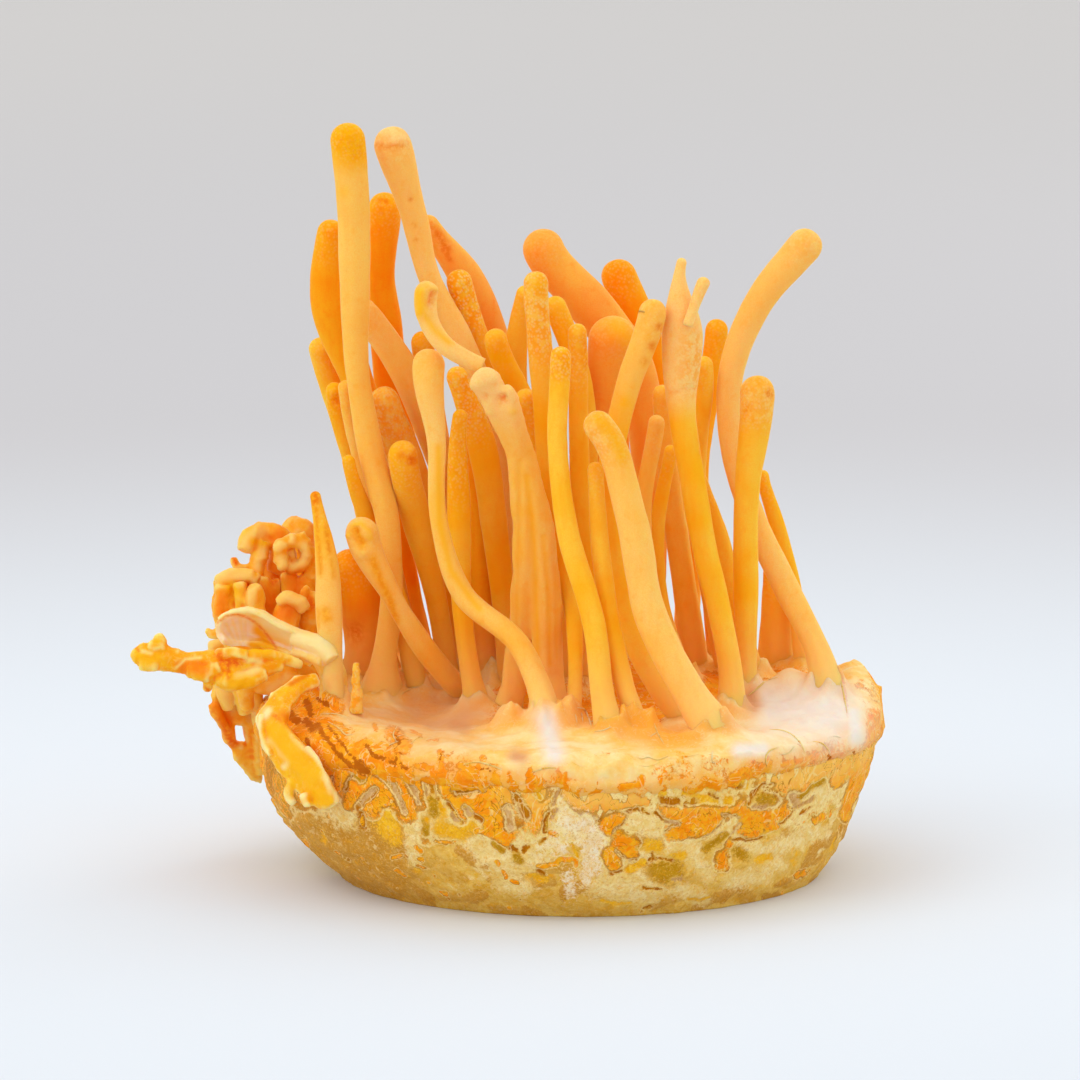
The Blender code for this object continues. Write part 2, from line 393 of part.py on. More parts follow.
def gaze_point(across, up, depth):
    """Where the sight line through (across, up) passes the upright plane at this depth."""
    across, up, depth = (np.asarray(value, dtype=float) for value in (across, up, depth))
    tilt_sin, tilt_cos = math.sin(GAZE_TILT), math.cos(GAZE_TILT)
    eye_y = GAZE_AIM[1] * tilt_sin - GAZE_DISTANCE * tilt_cos
    eye_z = GAZE_AIM[1] * tilt_cos + GAZE_DISTANCE * tilt_sin
    sheet_y, sheet_z = up * tilt_sin, up * tilt_cos
    reach = (depth - eye_y) / (sheet_y - eye_y)
    x = GAZE_AIM[0] + (across - GAZE_AIM[0]) * reach
    z = eye_z + (sheet_z - eye_z) * reach
    return np.stack([x, np.broadcast_to(depth, x.shape), z], axis=-1)


def gaze_scale(depth):
    """How much larger a thing at this depth is than it looks on the sheet."""
    return 1.0 + np.asarray(depth) * math.cos(GAZE_TILT) / GAZE_DISTANCE


def mat_height(x, y):
    """Height of the felt's upper face."""
    radius = math.hypot(x - CAKE_LEAN, y)
    thickness = MAT_THICKNESS
    thickness += MAT_CREST * math.exp(-((radius - MAT_CREST_RADIUS) / MAT_CREST_WIDTH) ** 2)
    for middle_x, middle_y, reach_x, reach_y, height in MAT_SWELLINGS:
        away = ((x - middle_x) / reach_x) ** 2 + ((y - middle_y) / reach_y) ** 2
        thickness += height * math.exp(-away)
    into_edge = (radius - (MAT_RADIUS - MAT_EDGE_ROUNDING)) / MAT_EDGE_ROUNDING
    if into_edge > 0.0:
        thickness = MAT_EDGE_HEIGHT + (thickness - MAT_EDGE_HEIGHT) * math.sqrt(max(0.0, 1.0 - into_edge ** 2))
    return MAT_UNDERSIDE + thickness


def up_on_mat(across, depth):
    """How far up a spot of the mat at this depth is seen."""
    x = float(gaze_point(across, 0.0, depth)[0])
    z = mat_height(x, depth)
    tilt_sin, tilt_cos = math.sin(GAZE_TILT), math.cos(GAZE_TILT)
    beyond = GAZE_DISTANCE + depth * tilt_cos - z * tilt_sin
    return GAZE_AIM[1] + (depth * tilt_sin + z * tilt_cos - GAZE_AIM[1]) * GAZE_DISTANCE / beyond


def depth_on_mat(across, up):
    """Depth at which the sight line meets the mat."""
    for depth in np.arange(-MAT_RADIUS, MAT_RADIUS, FOOT_SEARCH_STEP):
        x, y, z = gaze_point(across, up, depth)
        if z < mat_height(x, y):
            return float(depth)
    raise ValueError("a foot misses the mat")


# ---------------------------------------------------------------- curves

def smooth_rows(rows, places):
    """Rows of values read at fractions of their length, on a curve that passes through every row."""
    rows = np.asarray(rows, dtype=float)
    steps = np.linalg.norm(np.diff(rows[:, :2], axis=0), axis=1) + NEARLY_ZERO
    at = np.concatenate([[0.0], np.cumsum(steps)])
    slopes = np.gradient(rows, at, axis=0)
    wanted = np.asarray(places) * at[-1]
    left = np.clip(np.searchsorted(at, wanted, side="right") - 1, 0, len(at) - 2)
    span = (at[left + 1] - at[left])[:, None]
    t = ((wanted - at[left])[:, None]) / span
    return (rows[left] * (2 * t ** 3 - 3 * t ** 2 + 1) + slopes[left] * span * (t ** 3 - 2 * t ** 2 + t)
            + rows[left + 1] * (3 * t ** 2 - 2 * t ** 3) + slopes[left + 1] * span * (t ** 3 - t ** 2))


def with_depths(points, stands_on_mat=True):
    """Every point gets a depth: those given are kept, the others lie evenly between them."""
    rows = [list(point) for point in points]
    if rows[0][1] is None:
        rows[0][1] = up_on_mat(rows[0][0], rows[0][3])
    elif stands_on_mat and len(rows[0]) == 3:
        rows[0].append(depth_on_mat(rows[0][0], rows[0][1]))
    known = [place for place, row in enumerate(rows) if len(row) == 4]
    depths = np.interp([row[1] for row in rows], [rows[place][1] for place in known],
                       [rows[place][3] for place in known])
    return np.array([row[:3] + [depth if len(row) == 3 else row[3]] for row, depth in zip(rows, depths)])


def sampled_path(points):
    return smooth_rows(with_depths(points), np.linspace(0.0, 1.0, PATH_SAMPLES))


# ---------------------------------------------------------------- making room

def settle(paths):
    """Neighbours that meet lean past one another, the front one forward and the back one backward."""
    names = list(paths)
    rows = np.concatenate([paths[name] for name in names])
    owner = np.repeat(np.arange(len(names)), PATH_SAMPLES)
    hold = []
    for name in names:
        steps = np.linalg.norm(np.diff(paths[name][:, :2], axis=0), axis=1)
        along = np.concatenate([[0.0], np.cumsum(steps)])
        hold.append(np.clip(along / FOOT_HOLD, 0.0, 1.0))
    free = np.concatenate(hold)
    gaze = np.array([0.0, math.cos(GAZE_TILT), -math.sin(GAZE_TILT)])

    apart = np.hypot(rows[:, None, 0] - rows[None, :, 0], rows[:, None, 1] - rows[None, :, 1])
    room = (rows[:, None, 2] + rows[None, :, 2]) / 2.0 + GAP + SETTLING_ROOM
    first, second = np.nonzero((apart < room + SETTLING_REACH) & (owner[:, None] < owner[None, :]))
    room = room[first, second]
    order = np.where(rows[first, 3] >= rows[second, 3], 1.0, -1.0)

    for _ in range(SETTLING_ROUNDS):
        places = gaze_point(rows[:, 0], rows[:, 1], rows[:, 3])
        between = places[first] - places[second]
        behind = between @ gaze
        sideways = np.maximum((between ** 2).sum(axis=1) - behind ** 2, 0.0)
        lacking = np.sqrt(np.maximum(room ** 2 - sideways, 0.0)) - order * behind
        lacking = np.where(room ** 2 > sideways, np.maximum(lacking, 0.0), 0.0) * order
        back = np.zeros(len(rows))
        forward = np.zeros(len(rows))
        np.maximum.at(back, first, lacking)
        np.maximum.at(back, second, -lacking)
        np.minimum.at(forward, first, lacking)
        np.minimum.at(forward, second, -lacking)
        move = (back + forward) * SETTLING_STEP * free
        for place in range(len(names)):
            part = slice(place * PATH_SAMPLES, (place + 1) * PATH_SAMPLES)
            padded = np.pad(move[part], 2, mode="edge")
            rows[part, 3] += np.convolve(padded, SETTLING_SPREAD, mode="valid") * free[part]
    return {name: rows[place * PATH_SAMPLES:(place + 1) * PATH_SAMPLES] for place, name in enumerate(names)}


# ---------------------------------------------------------------- solids

def section_ring(centre, along, width, flatness, sides):
    """Points of an oval section across a path."""
    away = Vector((0.0, math.cos(GAZE_TILT), -math.sin(GAZE_TILT)))
    across = along.cross(away).normalized()
    deep = across.cross(along).normalized()
    ring = []
    for side in range(sides):
        angle = math.tau * side / sides
        ring.append(centre + across * (width / 2 * math.cos(angle)) + deep * (width / 2 * flatness * math.sin(angle)))
    return ring


def ring_places(length, head_radius, first, spacing):
    """Distances along a finger at which its solid has a ring, and how full the ring is there."""
    last = length - HEAD_RINGS[0][0] * head_radius
    count = max(FEWEST_RINGS, round((last - first) / spacing))
    places = [(place, 1.0) for place in np.linspace(first, last, count)]
    places += [(length - away * head_radius, fullness) for away, fullness in HEAD_RINGS[1:]]
    return places


def finger_solid(path, flatness=1.0, sides=FINGER_SIDES, on_mat=None, spacing=RING_SPACING):
    """Points and faces of a finger along a sampled path; its foot lies on the mat, or is cut square."""
    centres = gaze_point(path[:, 0], path[:, 1], path[:, 3])
    widths = path[:, 2] * gaze_scale(path[:, 3])
    steps = np.linalg.norm(np.diff(centres, axis=0), axis=1)
    at = np.concatenate([[0.0], np.cumsum(steps)])
    slopes = np.gradient(centres, at, axis=0)

    def reading(values, place):
        return np.array([np.interp(place, at, values[:, axis]) for axis in range(3)])

    head_radius = widths[-2] / 2
    first = widths[0] * (FOOT_CLEARING if on_mat else ROOT_CLEARING)
    rings = []
    if on_mat:
        foot = section_ring(Vector(centres[0]), Vector((0.0, 0.0, 1.0)), widths[0], 1.0, sides)
        rings.append([Vector((p.x, p.y, height_above(on_mat, p.x, p.y) + GAP + FOOT_LIFT)) for p in foot])
    else:
        rings.append(section_ring(Vector(centres[0]), Vector(slopes[0]).normalized(), widths[0], flatness, sides))
    for place, fullness in ring_places(at[-1], head_radius, first, spacing):
        width = np.interp(place, at, widths) * fullness
        along = Vector(reading(slopes, place)).normalized()
        rings.append(section_ring(Vector(reading(centres, place)), along, width, flatness, sides))
    middle = sum(rings[0], Vector()) / sides
    if on_mat:
        middle.z = height_above(on_mat, middle.x, middle.y) + GAP + FOOT_LIFT
    points = [middle] + [point for ring in rings for point in ring] + [Vector(centres[-1])]
    faces = []
    tip = len(points) - 1
    last = tip - sides
    for side in range(sides):
        after = (side + 1) % sides
        faces.append((0, 1 + after, 1 + side))
        faces.append((last + side, last + after, tip))
        for level in range(len(rings) - 1):
            low = 1 + level * sides
            faces.append((low + side, low + after, low + sides + after, low + sides + side))
    return points, faces


def height_above(tree, x, y):
    """Height of the mat's mesh under this spot."""
    hit = tree.ray_cast(Vector((x, y, ABOVE_ALL)), Vector((0.0, 0.0, -1.0)))[0]
    return hit.z if hit else MAT_UNDERSIDE + MAT_EDGE_HEIGHT


def side_lump(angle, height):
    """Swelling of the cake's side; none at the resting patch."""
    rise = min(1.0, height / CAKE_LUMPS_FULL_HEIGHT)
    waves = sum(share * math.sin(count * angle + start) for count, start, share in CAKE_LUMP_WAVES)
    left = max(0.0, -math.cos(angle)) ** 2
    left *= math.exp(-((height - CAKE_LEFT_SWELL_HEIGHT) / CAKE_LEFT_SWELL_REACH) ** 2)
    return rise * CAKE_LUMP * waves + CAKE_LEFT_SWELL * left


def build_cake(collection):
    points = []
    for height, radius in CAKE_PROFILE:
        lean = CAKE_LEAN * min(1.0, height / CAKE_LEAN_HEIGHT)
        for side in range(CAKE_SIDES):
            angle = math.tau * side / CAKE_SIDES
            reach = radius + side_lump(angle, height)
            points.append((lean + reach * math.cos(angle), reach * math.sin(angle), height))
    levels = len(CAKE_PROFILE)
    faces = [tuple(range(CAKE_SIDES)), tuple(range((levels - 1) * CAKE_SIDES, levels * CAKE_SIDES))]
    faces += tube_faces(levels, CAKE_SIDES)
    return new_object("rice_cake", points, faces, surface("grown_through_rice", RICE_KHAKI, RICE_ROUGHNESS),
                      collection)


def tube_faces(levels, sides):
    faces = []
    for level in range(levels - 1):
        for side in range(sides):
            after = (side + 1) % sides
            low = level * sides
            faces.append((low + side, low + after, low + sides + after, low + sides + side))
    return faces


def build_mat(collection):
    points = []
    top_of_cake = CAKE_PROFILE[-1][0]
    for side in range(CAKE_SIDES):
        angle = math.tau * side / CAKE_SIDES
        reach = MAT_RADIUS + side_lump(angle, top_of_cake)
        points.append((CAKE_LEAN + reach * math.cos(angle), reach * math.sin(angle), MAT_UNDERSIDE))
    for fraction in (1.0,) + MAT_RINGS[::-1]:
        for side in range(CAKE_SIDES):
            angle = math.tau * side / CAKE_SIDES
            edge = MAT_RADIUS + side_lump(angle, top_of_cake) * fraction ** 2
            flat_x = CAKE_LEAN + MAT_RADIUS * fraction * math.cos(angle)
            flat_y = MAT_RADIUS * fraction * math.sin(angle)
            points.append((CAKE_LEAN + edge * fraction * math.cos(angle), edge * fraction * math.sin(angle),
                           mat_height(flat_x, flat_y)))
    levels = len(MAT_RINGS) + 2
    points.append((CAKE_LEAN, 0.0, mat_height(CAKE_LEAN, 0.0)))
    middle = len(points) - 1
    inner = (levels - 1) * CAKE_SIDES
    faces = [tuple(range(CAKE_SIDES))] + tube_faces(levels, CAKE_SIDES)
    faces += [(inner + side, inner + (side + 1) % CAKE_SIDES, middle) for side in range(CAKE_SIDES)]
    return new_object("mycelium_mat", points, faces, surface("mycelium_felt", FELT_CREAM, FELT_ROUGHNESS),
                      collection)


def mesh_tree(item):
    """A tree in millimetres for finding heights on a solid."""
    vertices = [vertex.co / MM for vertex in item.data.vertices]
    return BVHTree.FromPolygons(vertices, [tuple(face.vertices) for face in item.data.polygons])


def finger_surface(name):
    if name in DEEP_FINGERS:
        return surface(name + "_flesh", DEEP_ORANGE, FLESH_ROUGHNESS)
    if name in PALE_FINGERS:
        return surface(name + "_flesh", PALE_PEACH, FLESH_ROUGHNESS)
    return surface(name + "_flesh", PEACH_ORANGE, FLESH_ROUGHNESS)


def joined(items, name):
    """One body from pieces that grew together."""
    body = items[0]
    for item in items[1:]:
        union = body.modifiers.new("grown_together", "BOOLEAN")
        union.operation = "UNION"
        union.solver = "EXACT"
        union.object = item
    bpy.context.view_layer.update()
    evaluated = body.evaluated_get(bpy.context.evaluated_depsgraph_get())
    mesh = bpy.data.meshes.new_from_object(evaluated)
    body.modifiers.clear()
    body.data = mesh
    body.name = name
    for item in items[1:]:
        bpy.data.objects.remove(item, do_unlink=True)
    return body


def build_fingers(collection, mat_tree):
    paths = {name: sampled_path(points) for name, points in FINGERS.items()}
    strand_names = []
    for place, points in enumerate(FUSED_STRANDS):
        strand = "strand_%d" % place
        rows = with_depths(points)
        path = smooth_rows(rows, np.linspace(0.0, 1.0, PATH_SAMPLES))
        paths[strand] = path
        strand_names.append(strand)
    held = {name: paths.pop(name) for name in strand_names}
    middle = np.mean([held[name] for name in strand_names], axis=0)
    middle[:, 2] = [max(abs(a - b) + (c + d) / 2, c, d) for a, b, c, d in zip(
        held[strand_names[0]][:, 0], held[strand_names[1]][:, 0],
        held[strand_names[0]][:, 2], held[strand_names[1]][:, 2])]
    paths[FUSED_NAME] = middle
    settled = settle(paths)
    moved = settled.pop(FUSED_NAME)[:, 3]
    for name, path in settled.items():
        slim = max(row[2] for row in FINGERS[name]) < SLIM_WIDTH
        stands = len(FINGERS[name][0]) == 3 or FINGERS[name][0][1] is None
        solid = finger_solid(path, sides=SLIM_FINGER_SIDES if slim else FINGER_SIDES,
                             on_mat=mat_tree if stands else None)
        new_object(name, *solid, finger_surface(name), collection)
    strands = []
    for name in strand_names:
        path = held[name].copy()
        blend = np.clip(np.linspace(0.0, 3.0, PATH_SAMPLES), 0.0, 1.0)
        path[:, 3] = path[:, 3] * (1 - blend) + moved * blend
        solid = finger_solid(path, FUSED_FLATNESS, FUSED_SIDES, mat_tree)
        strands.append(new_object(name, *solid, finger_surface(FUSED_NAME), collection))
    joined(strands, FUSED_NAME)


def build_lobe(name, rows, flatness, material, collection, spacing=LOBE_RING_SPACING):
    path = smooth_rows(with_depths(rows, False), np.linspace(0.0, 1.0, PATH_SAMPLES))
    return new_object(name, *finger_solid(path, flatness, FINGER_SIDES, None, spacing), material, collection)


def build_antler(collection):
    material = surface("antler_flesh", GLOSSY_ORANGE, GLOSSY_ROUGHNESS)
    pieces = [build_lobe("lobe_antler_main", ANTLER, ANTLER_FLATNESS, material, collection)]
    for place, rows in enumerate(ANTLER_KNOBS):
        pieces.append(build_lobe("lobe_antler_knob_%d" % place, rows, 1.0, material, collection))
    return joined(pieces, "lobe_antler")


def build_ribbon(name, rows, thickness, material, collection, hole=None):
    """A curling ribbon of even thickness."""
    width = len(rows[0])
    points = [tuple(gaze_point(*point)) for row in rows for point in row]
    faces = []
    for level in range(len(rows) - 1):
        for column in range(width - 1):
            if (level, column) == hole:
                continue
            low = level * width + column
            faces.append((low, low + 1, low + width + 1, low + width))
    ribbon = new_object(name, points, faces, material, collection)
    body = ribbon.modifiers.new("flesh", "SOLIDIFY")
    body.thickness = thickness * MM
    body.offset = 0.0
    body.use_even_offset = True
    return ribbon


def build_lobes(collection):
    build_antler(collection)
    for name, rows in CURLED.items():
        material = surface(name + "_flesh", BRIGHT_ORANGE, FLESH_ROUGHNESS)
        lobe = build_lobe(name, rows, CURLED_FLATNESS, material, collection)
        if name in SIDE_FOLDS:
            fold = build_lobe(name + "_fold", SIDE_FOLDS[name], CURLED_FLATNESS, material, collection)
            joined([lobe, fold], name)
    build_ribbon("lobe_ear", EAR_ROWS, RIBBON_THICKNESS, surface("ear_flesh", PALE_PEACH, FLESH_ROUGHNESS),
                 collection)
    build_ribbon("lobe_hanging_leaf", LEAF_ROWS, LEAF_THICKNESS,
                 surface("leaf_flesh", GLOSSY_ORANGE, GLOSSY_ROUGHNESS), collection)
    build_ribbon("lobe_back_fringe", FRINGE_ROWS, FRINGE_THICKNESS,
                 surface("fringe_flesh", DEEP_ORANGE, FLESH_ROUGHNESS), collection, FRINGE_HOLE)


def build():
    clear_scene()
    collection = bpy.data.collections.new(BUNCH_NAME)
    bpy.context.scene.collection.children.link(collection)
    build_cake(collection)
    mat = build_mat(collection)
    build_fingers(collection, mesh_tree(mat))
    build_lobes(collection)


build()
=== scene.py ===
"""Looks of a bunch of cultivated cordyceps standing on its cake of grown-through rice.

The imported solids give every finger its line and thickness. Here each one is rebuilt in fine velvety flesh, the
cake shows its rice grains under their film, and the felt between the feet gets its folds and torn fibres.
Lengths are in millimetres until a mesh is made. "Across" and "up" are measured on an upright sheet through the
origin, as the camera sees it, in millimetres.
"""
import json
import math

import bpy
import numpy as np
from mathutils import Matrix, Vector
from mathutils.bvhtree import BVHTree


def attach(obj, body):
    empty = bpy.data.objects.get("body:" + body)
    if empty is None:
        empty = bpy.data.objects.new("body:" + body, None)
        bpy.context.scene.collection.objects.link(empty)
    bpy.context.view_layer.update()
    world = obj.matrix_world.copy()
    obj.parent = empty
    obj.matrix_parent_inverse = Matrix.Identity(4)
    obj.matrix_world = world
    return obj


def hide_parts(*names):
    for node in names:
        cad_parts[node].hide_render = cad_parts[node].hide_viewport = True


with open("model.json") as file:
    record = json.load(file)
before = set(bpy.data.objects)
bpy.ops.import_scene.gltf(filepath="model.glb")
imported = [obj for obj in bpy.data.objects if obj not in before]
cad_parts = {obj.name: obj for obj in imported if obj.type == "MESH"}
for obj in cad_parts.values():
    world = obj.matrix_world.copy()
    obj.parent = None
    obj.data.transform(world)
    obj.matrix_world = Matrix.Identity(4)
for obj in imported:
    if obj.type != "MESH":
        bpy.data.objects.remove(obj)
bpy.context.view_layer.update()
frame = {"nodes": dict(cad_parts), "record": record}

MM = 0.001
BODY = "root"

# ---- the camera, which "across" and "up" are seen from
CAMERA_TILT = math.radians(8.4)
CAMERA_DISTANCE = 800.0
CAMERA_AIM = (-5.33, 43.6)
PICTURE_WIDTH = 144.0               # what the frame takes in on the sheet
SENSOR_WIDTH = 36.0
TILT_SIN, TILT_COS = math.sin(CAMERA_TILT), math.cos(CAMERA_TILT)
EYE = np.array([CAMERA_AIM[0],
                CAMERA_AIM[1] * TILT_SIN - CAMERA_DISTANCE * TILT_COS,
                CAMERA_AIM[1] * TILT_COS + CAMERA_DISTANCE * TILT_SIN])
AWAY = np.array([0.0, TILT_COS, -TILT_SIN])
UPWARD = np.array([0.0, TILT_SIN, TILT_COS])


# ---------------------------------------------------------------- the sheet

def on_sheet(points):
    """Across and up of points in space."""
    from_eye = np.asarray(points) - EYE
    reach = CAMERA_DISTANCE / (from_eye @ AWAY)
    return np.stack([CAMERA_AIM[0] + from_eye[..., 0] * reach,
                     CAMERA_AIM[1] + (from_eye @ UPWARD) * reach], axis=-1)


def at_depth(across, up, depth):
    """The point at this depth that is seen at (across, up)."""
    sheet = np.array([across, up * TILT_SIN, up * TILT_COS])
    reach = (depth - EYE[1]) / (sheet[1] - EYE[1])
    return EYE + (sheet - EYE) * reach


# ---------------------------------------------------------------- unevenness

def cell_values(x, y, z, seed):
    """An even random value between -1 and 1 for each whole cell of space."""
    x, y, z = (places.astype(np.int64) for places in (x, y, z))
    mixed = (x * 73856093) ^ (y * 19349663) ^ (z * 83492791)
    mixed = (mixed ^ (seed * 2654435761)) & 0xFFFFFFFF
    mixed = ((mixed ^ (mixed >> 15)) * 2246822519) & 0xFFFFFFFF
    mixed = ((mixed ^ (mixed >> 13)) * 3266489917) & 0xFFFFFFFF
    return ((mixed ^ (mixed >> 16)) & 0xFFFFFF) / float(0x7FFFFF) - 1.0


def lumps(points, size, seed):
    """Soft unevenness between -1 and 1 whose lumps are about this size."""
    places = np.asarray(points) / size
    base = np.floor(places)
    t = places - base
    t = t * t * (3.0 - 2.0 * t)
    total = np.zeros(places.shape[:-1])
    for dx in (0, 1):
        for dy in (0, 1):
            for dz in (0, 1):
                weight = (t[..., 0] if dx else 1 - t[..., 0]) * (t[..., 1] if dy else 1 - t[..., 1])
                weight = weight * (t[..., 2] if dz else 1 - t[..., 2])
                total += weight * cell_values(base[..., 0] + dx, base[..., 1] + dy, base[..., 2] + dz, seed)
    return total


def rough(points, size, seed, layers=3):
    """Unevenness with ever finer lumps on top."""
    return sum(lumps(points, size / 2 ** layer, seed + layer) / 2 ** layer for layer in range(layers))


def ease(value, low, high):
    """From 0 at low to 1 at high, or the other way round where high is below low."""
    t = np.clip((value - low) / (high - low), 0.0, 1.0)
    return t * t * (3.0 - 2.0 * t)


def from_line(places, line):
    """Distance on the sheet from places to a line of points, or to a single point."""
    line = np.asarray(line, dtype=float)
    if len(line) == 1:
        return np.linalg.norm(places - line[0], axis=-1)
    best = np.full(places.shape[:-1], np.inf)
    for start, end in zip(line[:-1], line[1:]):
        step = end - start
        t = np.clip(((places - start) @ step) / (step @ step), 0.0, 1.0)
        best = np.minimum(best, np.linalg.norm(places - (start + t[..., None] * step), axis=-1))
    return best


def covered_by(seen, half_width, line):
    """How much a mark covers each place: 1 inside, half at its edge."""
    ramp = min(max(0.34, 1.3 * half_width), 1.7)
    return np.clip(0.5 + (half_width - from_line(seen, line)) / ramp, 0.0, 1.0)


# ---------------------------------------------------------------- materials

def linear(hex_code):
    """A screen colour turned linear."""
    channels = [int(hex_code[place:place + 2], 16) / 255.0 for place in (0, 2, 4)]
    return tuple(c / 12.92 if c <= 0.04045 else ((c + 0.055) / 1.055) ** 2.4 for c in channels) + (1.0,)


def add(tree, kind, inputs=None, **settings):
    """A node with its settings; each input gets a value, or a link from another node's output."""
    node = tree.nodes.new("ShaderNode" + kind)
    for name, value in settings.items():
        setattr(node, name, value)
    for name, value in (inputs or {}).items():
        socket = node.inputs[name]
        if isinstance(value, bpy.types.NodeSocket):
            tree.links.new(value, socket)
        else:
            socket.default_value = value
    return node


def new_material(name):
    """An empty material, its nodes and its shader."""
    material = bpy.data.materials.new(name)
    material.use_nodes = True
    tree = material.node_tree
    shader = tree.nodes["Principled BSDF"]
    return material, tree, shader


def blended(tree, factor, first, second):
    """Colour between two others; a colour is a hex code or an output."""
    first, second = (linear(c) if isinstance(c, str) else c for c in (first, second))
    mix = add(tree, "Mix", data_type="RGBA")
    for place, value in ((0, factor), (6, first), (7, second)):
        if isinstance(value, bpy.types.NodeSocket):
            tree.links.new(value, mix.inputs[place])
        else:
            mix.inputs[place].default_value = value
    return mix.outputs[2]


def spread(tree, value, low, high, to_low=0.0, to_high=1.0):
    """A value's stretch from low to high, eased and laid over another stretch."""
    return add(tree, "MapRange", {"Value": value, "From Min": low, "From Max": high, "To Min": to_low,
                                  "To Max": to_high}, interpolation_type="SMOOTHSTEP").outputs[0]


def product(tree, first, second):
    """One value times another."""
    return add(tree, "Math", {0: first, 1: second}, operation="MULTIPLY").outputs[0]


def total(tree, first, second):
    """One value plus another."""
    return add(tree, "Math", {0: first, 1: second}, operation="ADD").outputs[0]


def apart(tree, value, middle):
    """How far a value is from a middle one."""
    off = add(tree, "Math", {0: value, 1: middle}, operation="SUBTRACT").outputs[0]
    return add(tree, "Math", {0: off}, operation="ABSOLUTE").outputs[0]


def laid_over(tree, colour, cover, top, strength=1.0):
    """A colour with another laid over it as far as the cover says."""
    return blended(tree, cover if strength == 1.0 else product(tree, cover, strength), colour, top)


def noise(tree, where, size_mm, detail=3.0, roughness=0.55, distortion=0.0):
    """Clouds of about this size, between 0 and 1."""
    return add(tree, "TexNoise", {"Vector": where, "Scale": 1.0 / (size_mm * MM), "Detail": detail,
                                  "Roughness": roughness, "Distortion": distortion}).outputs["Fac"]


def veins(tree, where, size_mm, width):
    """Thin wandering lines: where a noise passes through its middle value."""
    return spread(tree, apart(tree, noise(tree, where, size_mm, 3.0, 0.6, 1.4), 0.5), 0.0, width, 1.0, 0.0)


def outline(tree, level, middle, width):
    """A line where a cover fades out."""
    return spread(tree, apart(tree, level, middle), 0.3 * width, width, 1.0, 0.0)


def traits_of(tree, name="traits"):
    """Four values that the mesh holds at each point."""
    colour = add(tree, "Attribute", attribute_name=name)
    parts = add(tree, "SeparateColor", {0: colour.outputs["Color"]})
    return parts.outputs[0], parts.outputs[1], parts.outputs[2], colour.outputs["Alpha"]


def bumped(tree, shader, height, strength, depth_mm):
    """Fine relief in the surface's light."""
    bump = add(tree, "Bump", {"Height": height, "Strength": strength, "Distance": depth_mm * MM})
    tree.links.new(bump.outputs[0], shader.inputs["Normal"])


def set_flesh_light(shader, weight, radius_mm, sheen, roughness, gloss):
    """How light goes into flesh, felt or rice, and how much of it down and wetness throw back."""
    shader.inputs["Roughness"].default_value = roughness
    shader.inputs["IOR"].default_value = 1.4
    shader.inputs["Specular IOR Level"].default_value = gloss
    shader.inputs["Subsurface Weight"].default_value = weight
    shader.inputs["Subsurface Radius"].default_value = tuple(r * MM for r in radius_mm)
    shader.inputs["Subsurface Scale"].default_value = 1.0
    shader.inputs["Sheen Weight"].default_value = sheen
    shader.inputs["Sheen Roughness"].default_value = 0.24
    shader.inputs["Sheen Tint"].default_value = linear("FFD898")


def velvet_flesh(name, pale, middle, deep):
    """Flesh of a fruiting finger: moist and translucent, with a bloom of fine down that pales its edges.
    Traits: height over the felt, grain of the fertile head, brown scars, yellow patches; on the hooked branch the
    yellow is a painted highlight. Tint: how pale, partly painted light."""
    material, tree, shader = new_material(name)
    along, grain, scar, yellow = traits_of(tree)
    pale_and_lit = traits_of(tree, "tints")[0]
    where = add(tree, "TexCoord").outputs["Object"]
    stretched = add(tree, "Mapping", {"Vector": where, "Scale": (1.0, 1.0, 0.12)}).outputs[0]
    clouds = spread(tree, noise(tree, where, 9.0, 2.0), 0.34, 0.68)
    streaks = spread(tree, noise(tree, stretched, 0.8, 3.0), 0.46, 0.7)
    colour = blended(tree, clouds, pale, middle)
    colour = laid_over(tree, colour, streaks, deep, 0.22)
    # The tint makes the flesh paler, partly as painted light that lifts shade on some fingers.
    colour = laid_over(tree, colour, pale_and_lit, "FFD38A")
    down = noise(tree, where, 0.16, 2.0)
    colour = laid_over(tree, colour, spread(tree, down, 0.3, 0.75, 0.0, 0.32), deep)
    blotches = spread(tree, noise(tree, where, 1.6, 4.0, 0.65), 0.52, 0.72, 0.0, 0.3)
    colour = laid_over(tree, colour, blotches, deep)
    colour = laid_over(tree, colour, spread(tree, along, 0.0, 0.55, 0.6, 0.0), "FFCF80")
    dots = add(tree, "TexVoronoi", {"Vector": where, "Scale": 1.0 / (0.44 * MM)})
    dotted = spread(tree, dots.outputs["Distance"], 0.15, 0.62, 1.0, 0.0)
    patchy = spread(tree, noise(tree, where, 1.2, 4.0, 0.6), 0.4, 0.6)
    colour = laid_over(tree, colour, product(tree, grain, product(tree, patchy, 0.8)), "FF9A08")
    colour = laid_over(tree, colour, product(tree, grain, product(tree, dotted, 0.6)), "FFD68A")
    colour = laid_over(tree, colour, yellow, "FFB606", 0.9)
    ragged = spread(tree, noise(tree, where, 0.6, 4.0, 0.6), 0.34, 0.58, 0.3, 1.0)
    colour = laid_over(tree, colour, product(tree, scar, ragged), "EA7C06")
    tree.links.new(colour, shader.inputs["Base Color"])
    height = total(tree, product(tree, down, 0.6), product(tree, product(tree, dotted, grain), 1.6))
    bumped(tree, shader, height, 0.6, 0.07)
    set_flesh_light(shader, 0.55, (2.8, 1.0, 0.22), 0.75, 0.62, 0.06)
    return material


